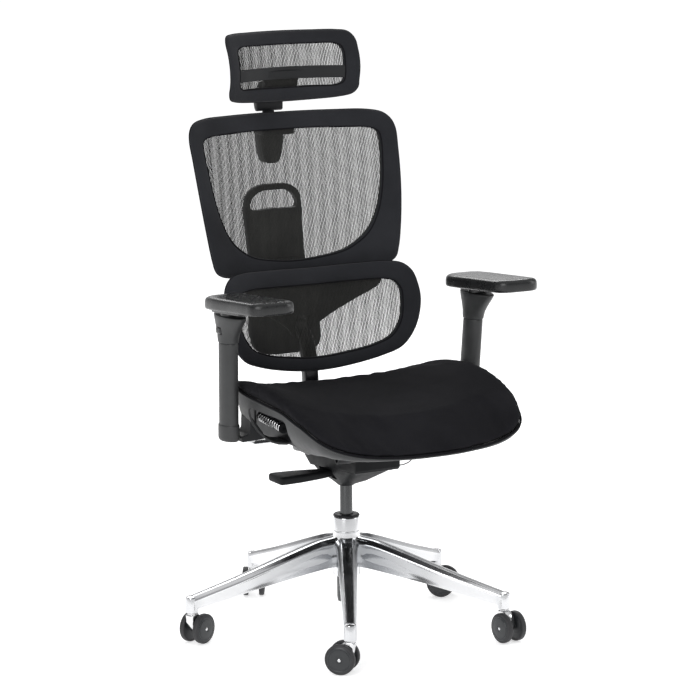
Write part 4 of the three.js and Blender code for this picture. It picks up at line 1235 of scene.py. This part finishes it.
def plate(outline, centre, depth, thick, edge=2.6):
    """Curved plate with rounded edges; its faces follow the depth all the way in."""
    shares = (0.02, 0.2, 0.4, 0.6, 0.78, 0.9)
    ease = edge * 0.3
    rounded = [(edge, 0), (ease, ease), (0, edge), (0, thick - edge), (ease, thick - ease), (edge, thick)]
    loops = [upright(scaled(outline, k, centre), depth) for k in shares]
    loops += [upright(inset(outline, amount), depth, lift) for amount, lift in rounded]
    loops += [upright(scaled(outline, k, centre), depth, thick) for k in shares[::-1]]
    return loft(loops)


def spine():
    outline = mirrored([(0, 869), (36, 866), (58, 850), (65, 822), (65, 790), (63, 740), (64, 690), (70, 640),
                        (78, 600), (80, 565), (74, 541), (58, 529), (30, 525), (0, 525)], 220)
    return plate(outline, np.array((0.0, 700.0)), spine_depth, 15)


back_panel = piece("spine_shell", spine(), DARK_PLASTIC, "upper_back", "spine_panel", sharp=50)
grip = mirrored([(0, 857), (28, 855), (48, 842), (54, 824), (50, 818), (0, 818)], 90)
cut_by(back_panel, loft([facing(grip, y) for y in (270, 360)]))
add_bevel(back_panel, 2.2, 3, 45)

UPRIGHT_PATH = [(112, 366), (124, 396), (146, 440), (152, 498), (162, 548), (196, 590), (240, 628),
                (263, 664), (271, 695)]


def back_upright():
    path = [(0, y, z) for y, z in spline(UPRIGHT_PATH, 70)]
    bar = swept(path, rounded_box(-16, 16, -11, 11, 6.5, 8))
    shapes = [bar]
    side_arm = spline_loop([(33, 368), (36, 358), (46, 356), (80, 356), (110, 356), (112, 368), (110, 379),
                            (80, 379), (46, 379), (36, 377)], 48)
    for s in (1, -1):
        x0, x1 = sorted((s * 50.6, s * 62))
        shapes.append(slab(side_arm, x0, x1, [(0, 1.4), (1, 0.3), (2, 0)]))
    shapes.append(loft([across(rounded_box(98, 112, 356, 379, 4, 6), x) for x in (-61.5, 61.5)]))
    return merged(*shapes)


piece("back_arm", back_upright(), GLOSS_PLASTIC, "back", "back_upright", sharp=50)


def yoke():
    outline = mirrored([(0, 684), (80, 686), (140, 692), (153, 686), (148, 670), (108, 638), (64, 610),
                        (34, 590), (23, 578), (21, 572), (0, 572)], 160)

    def depth(x, z):
        return 187 - 57 * (abs(x) / 150) ** 3

    return plate(outline, np.array((0.0, 650.0)), depth, 9, 1.8)


UPRIGHT_PASSAGE = (-16.6, 16.6, 150, 230, 560, 612)
funnel = piece("lumbar_carrier", yoke(), DARK_PLASTIC, "lumbar", "lumbar_yoke", sharp=50)
cut_by(funnel, box(*UPRIGHT_PASSAGE))
add_bevel(funnel, 1, 2, 50)


# ---- Headrest post, hinge and guide --------------------------------------------------------
HEAD_HINGE = (288, 1072)


def stem_depth(z):
    return lerp(320, 327, (z - 920) / 103)


def stem_loop(z, wide, deep, radius, per_corner):
    """Level section of the stem, or of its slot, at a height."""
    y = stem_depth(z)
    return flat(rounded_box(-wide, wide, y - deep, y + deep, radius, per_corner), z)


def guide():
    """Cross plate on the frame's back and the tapering tongue that holds the stem."""
    cross = rounded_box(-36, 36, 972, 988, 5, 6)
    cross_plate = loft([upright(inset(cross, 1), upper_depth, 16), upright(cross, upper_depth, 17.5),
                        facing(cross, 312), facing(inset(cross, 1.2), 316)])
    outline = mirrored([(0, 988), (20, 988), (27, 984), (27, 970), (24, 945), (21, 928), (16, 915), (9, 911),
                        (0, 911)], 90)
    tongue = loft([facing(inset(outline, amount), y) for y, amount in
                   ((308, 2.5), (309, 0.8), (311, 0), (337, 0), (339, 0.8), (340, 2.5))])
    return merged(cross_plate, tongue)


guide_block = piece("post_guide", guide(), DARK_PLASTIC, "upper_back", "headrest_guide", sharp=50)
cut_by(guide_block, loft([stem_loop(z, 13.4, 4.4, 2, 4) for z in (900, 1020)]))
add_bevel(guide_block, 0.8, 2, 50)


def post():
    blade = loft([stem_loop(z, wide, 4, 3.2, 6) for z, wide in
                  ((918, 10), (919.5, 12), (922, 13), (1006, 13), (1030, 13))])
    profile = spline_loop([(318, 1020), (327, 1018), (334, 1030), (333, 1046), (318, 1062), (300, 1079),
                           (288, 1081), (280, 1078), (279, 1066), (290, 1058), (306, 1050), (316, 1036)], 80)
    neck = slab(profile, -30, 30, [(0, 2.4), (1, 0.7), (3, 0)])
    axle = along_x([(4, -38), (4, 38)], 28, 0, *HEAD_HINGE)
    return merged(blade, neck, axle)


HINGE_NOTCH = (-14, 14, 262, 306, 1040, 1100)
neck_post = piece("headrest_post_body", post(), DARK_PLASTIC, "headrest_post", "headrest_stem", sharp=50)
cut_by(neck_post, box(*HINGE_NOTCH))
add_bevel(neck_post, 0.8, 2, 50)


def band(x0, x1, z0, z1, depth, near, far, steps=50):
    """Level strip that follows a curved surface from side to side."""
    return loft([[(x, depth(x, z) + lift, z) for z, lift in ((z0, near), (z1, near), (z1, far), (z0, far))]
                 for x in np.linspace(x0, x1, steps)])


def cheek_plate():
    """Tapering plate in front of the hinge, with a web up to the band."""
    loops = []
    for z, half in ((1061, 29), (1062, 30.5), (1066, 32), (1084, 39), (1094, 42), (1096, 42), (1097, 40.5)):
        loops.append(flat(rounded_box(-half, half, 264, 271, 2.4, 5), z))
    web = loft([facing(rounded_box(-half, half, 1093, 1105, 3, 5), y)
                for y, half in ((244, 46), (250, 44), (268, 42))])
    return merged(loft(loops), web)


def head_bracket():
    """Level band across the window, with two cheeks back to the hinge."""
    shapes = [band(-127, 127, 1089, 1113, head_depth, 1.2, 6.4), cheek_plate()]
    cheek = spline_loop([(268, 1090), (281, 1083), (292, 1081), (298, 1072), (292, 1062), (281, 1060),
                         (268, 1062)], 60)
    for s in (1, -1):
        x0, x1 = sorted((s * 31, s * 37))
        shapes.append(slab(cheek, x0, x1, [(0, 0.8), (0.8, 0)]))
    return merged(*shapes)


piece("headrest_bracket", head_bracket(), DARK_PLASTIC, "headrest", sharp=40)

# ---- CAD pieces shown as they are ----------------------------------------------------------
CARRIED = ("column_guide_bushing", "thrust_bearing", "piston_rod", "seat_pivot_pin", "back_pivot_pin",
           "release_pin", "seat_carrier", "slide_cable", "lumbar_pivot_pin")
for node in CARRIED:
    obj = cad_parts[node]
    obj.data.materials.clear()
    obj.data.materials.append(DARK_PLASTIC if node == "column_guide_bushing" else STEEL)
    if node not in ("slide_cable", "piston_rod"):
        add_bevel(obj, 0.6, 2, 40)
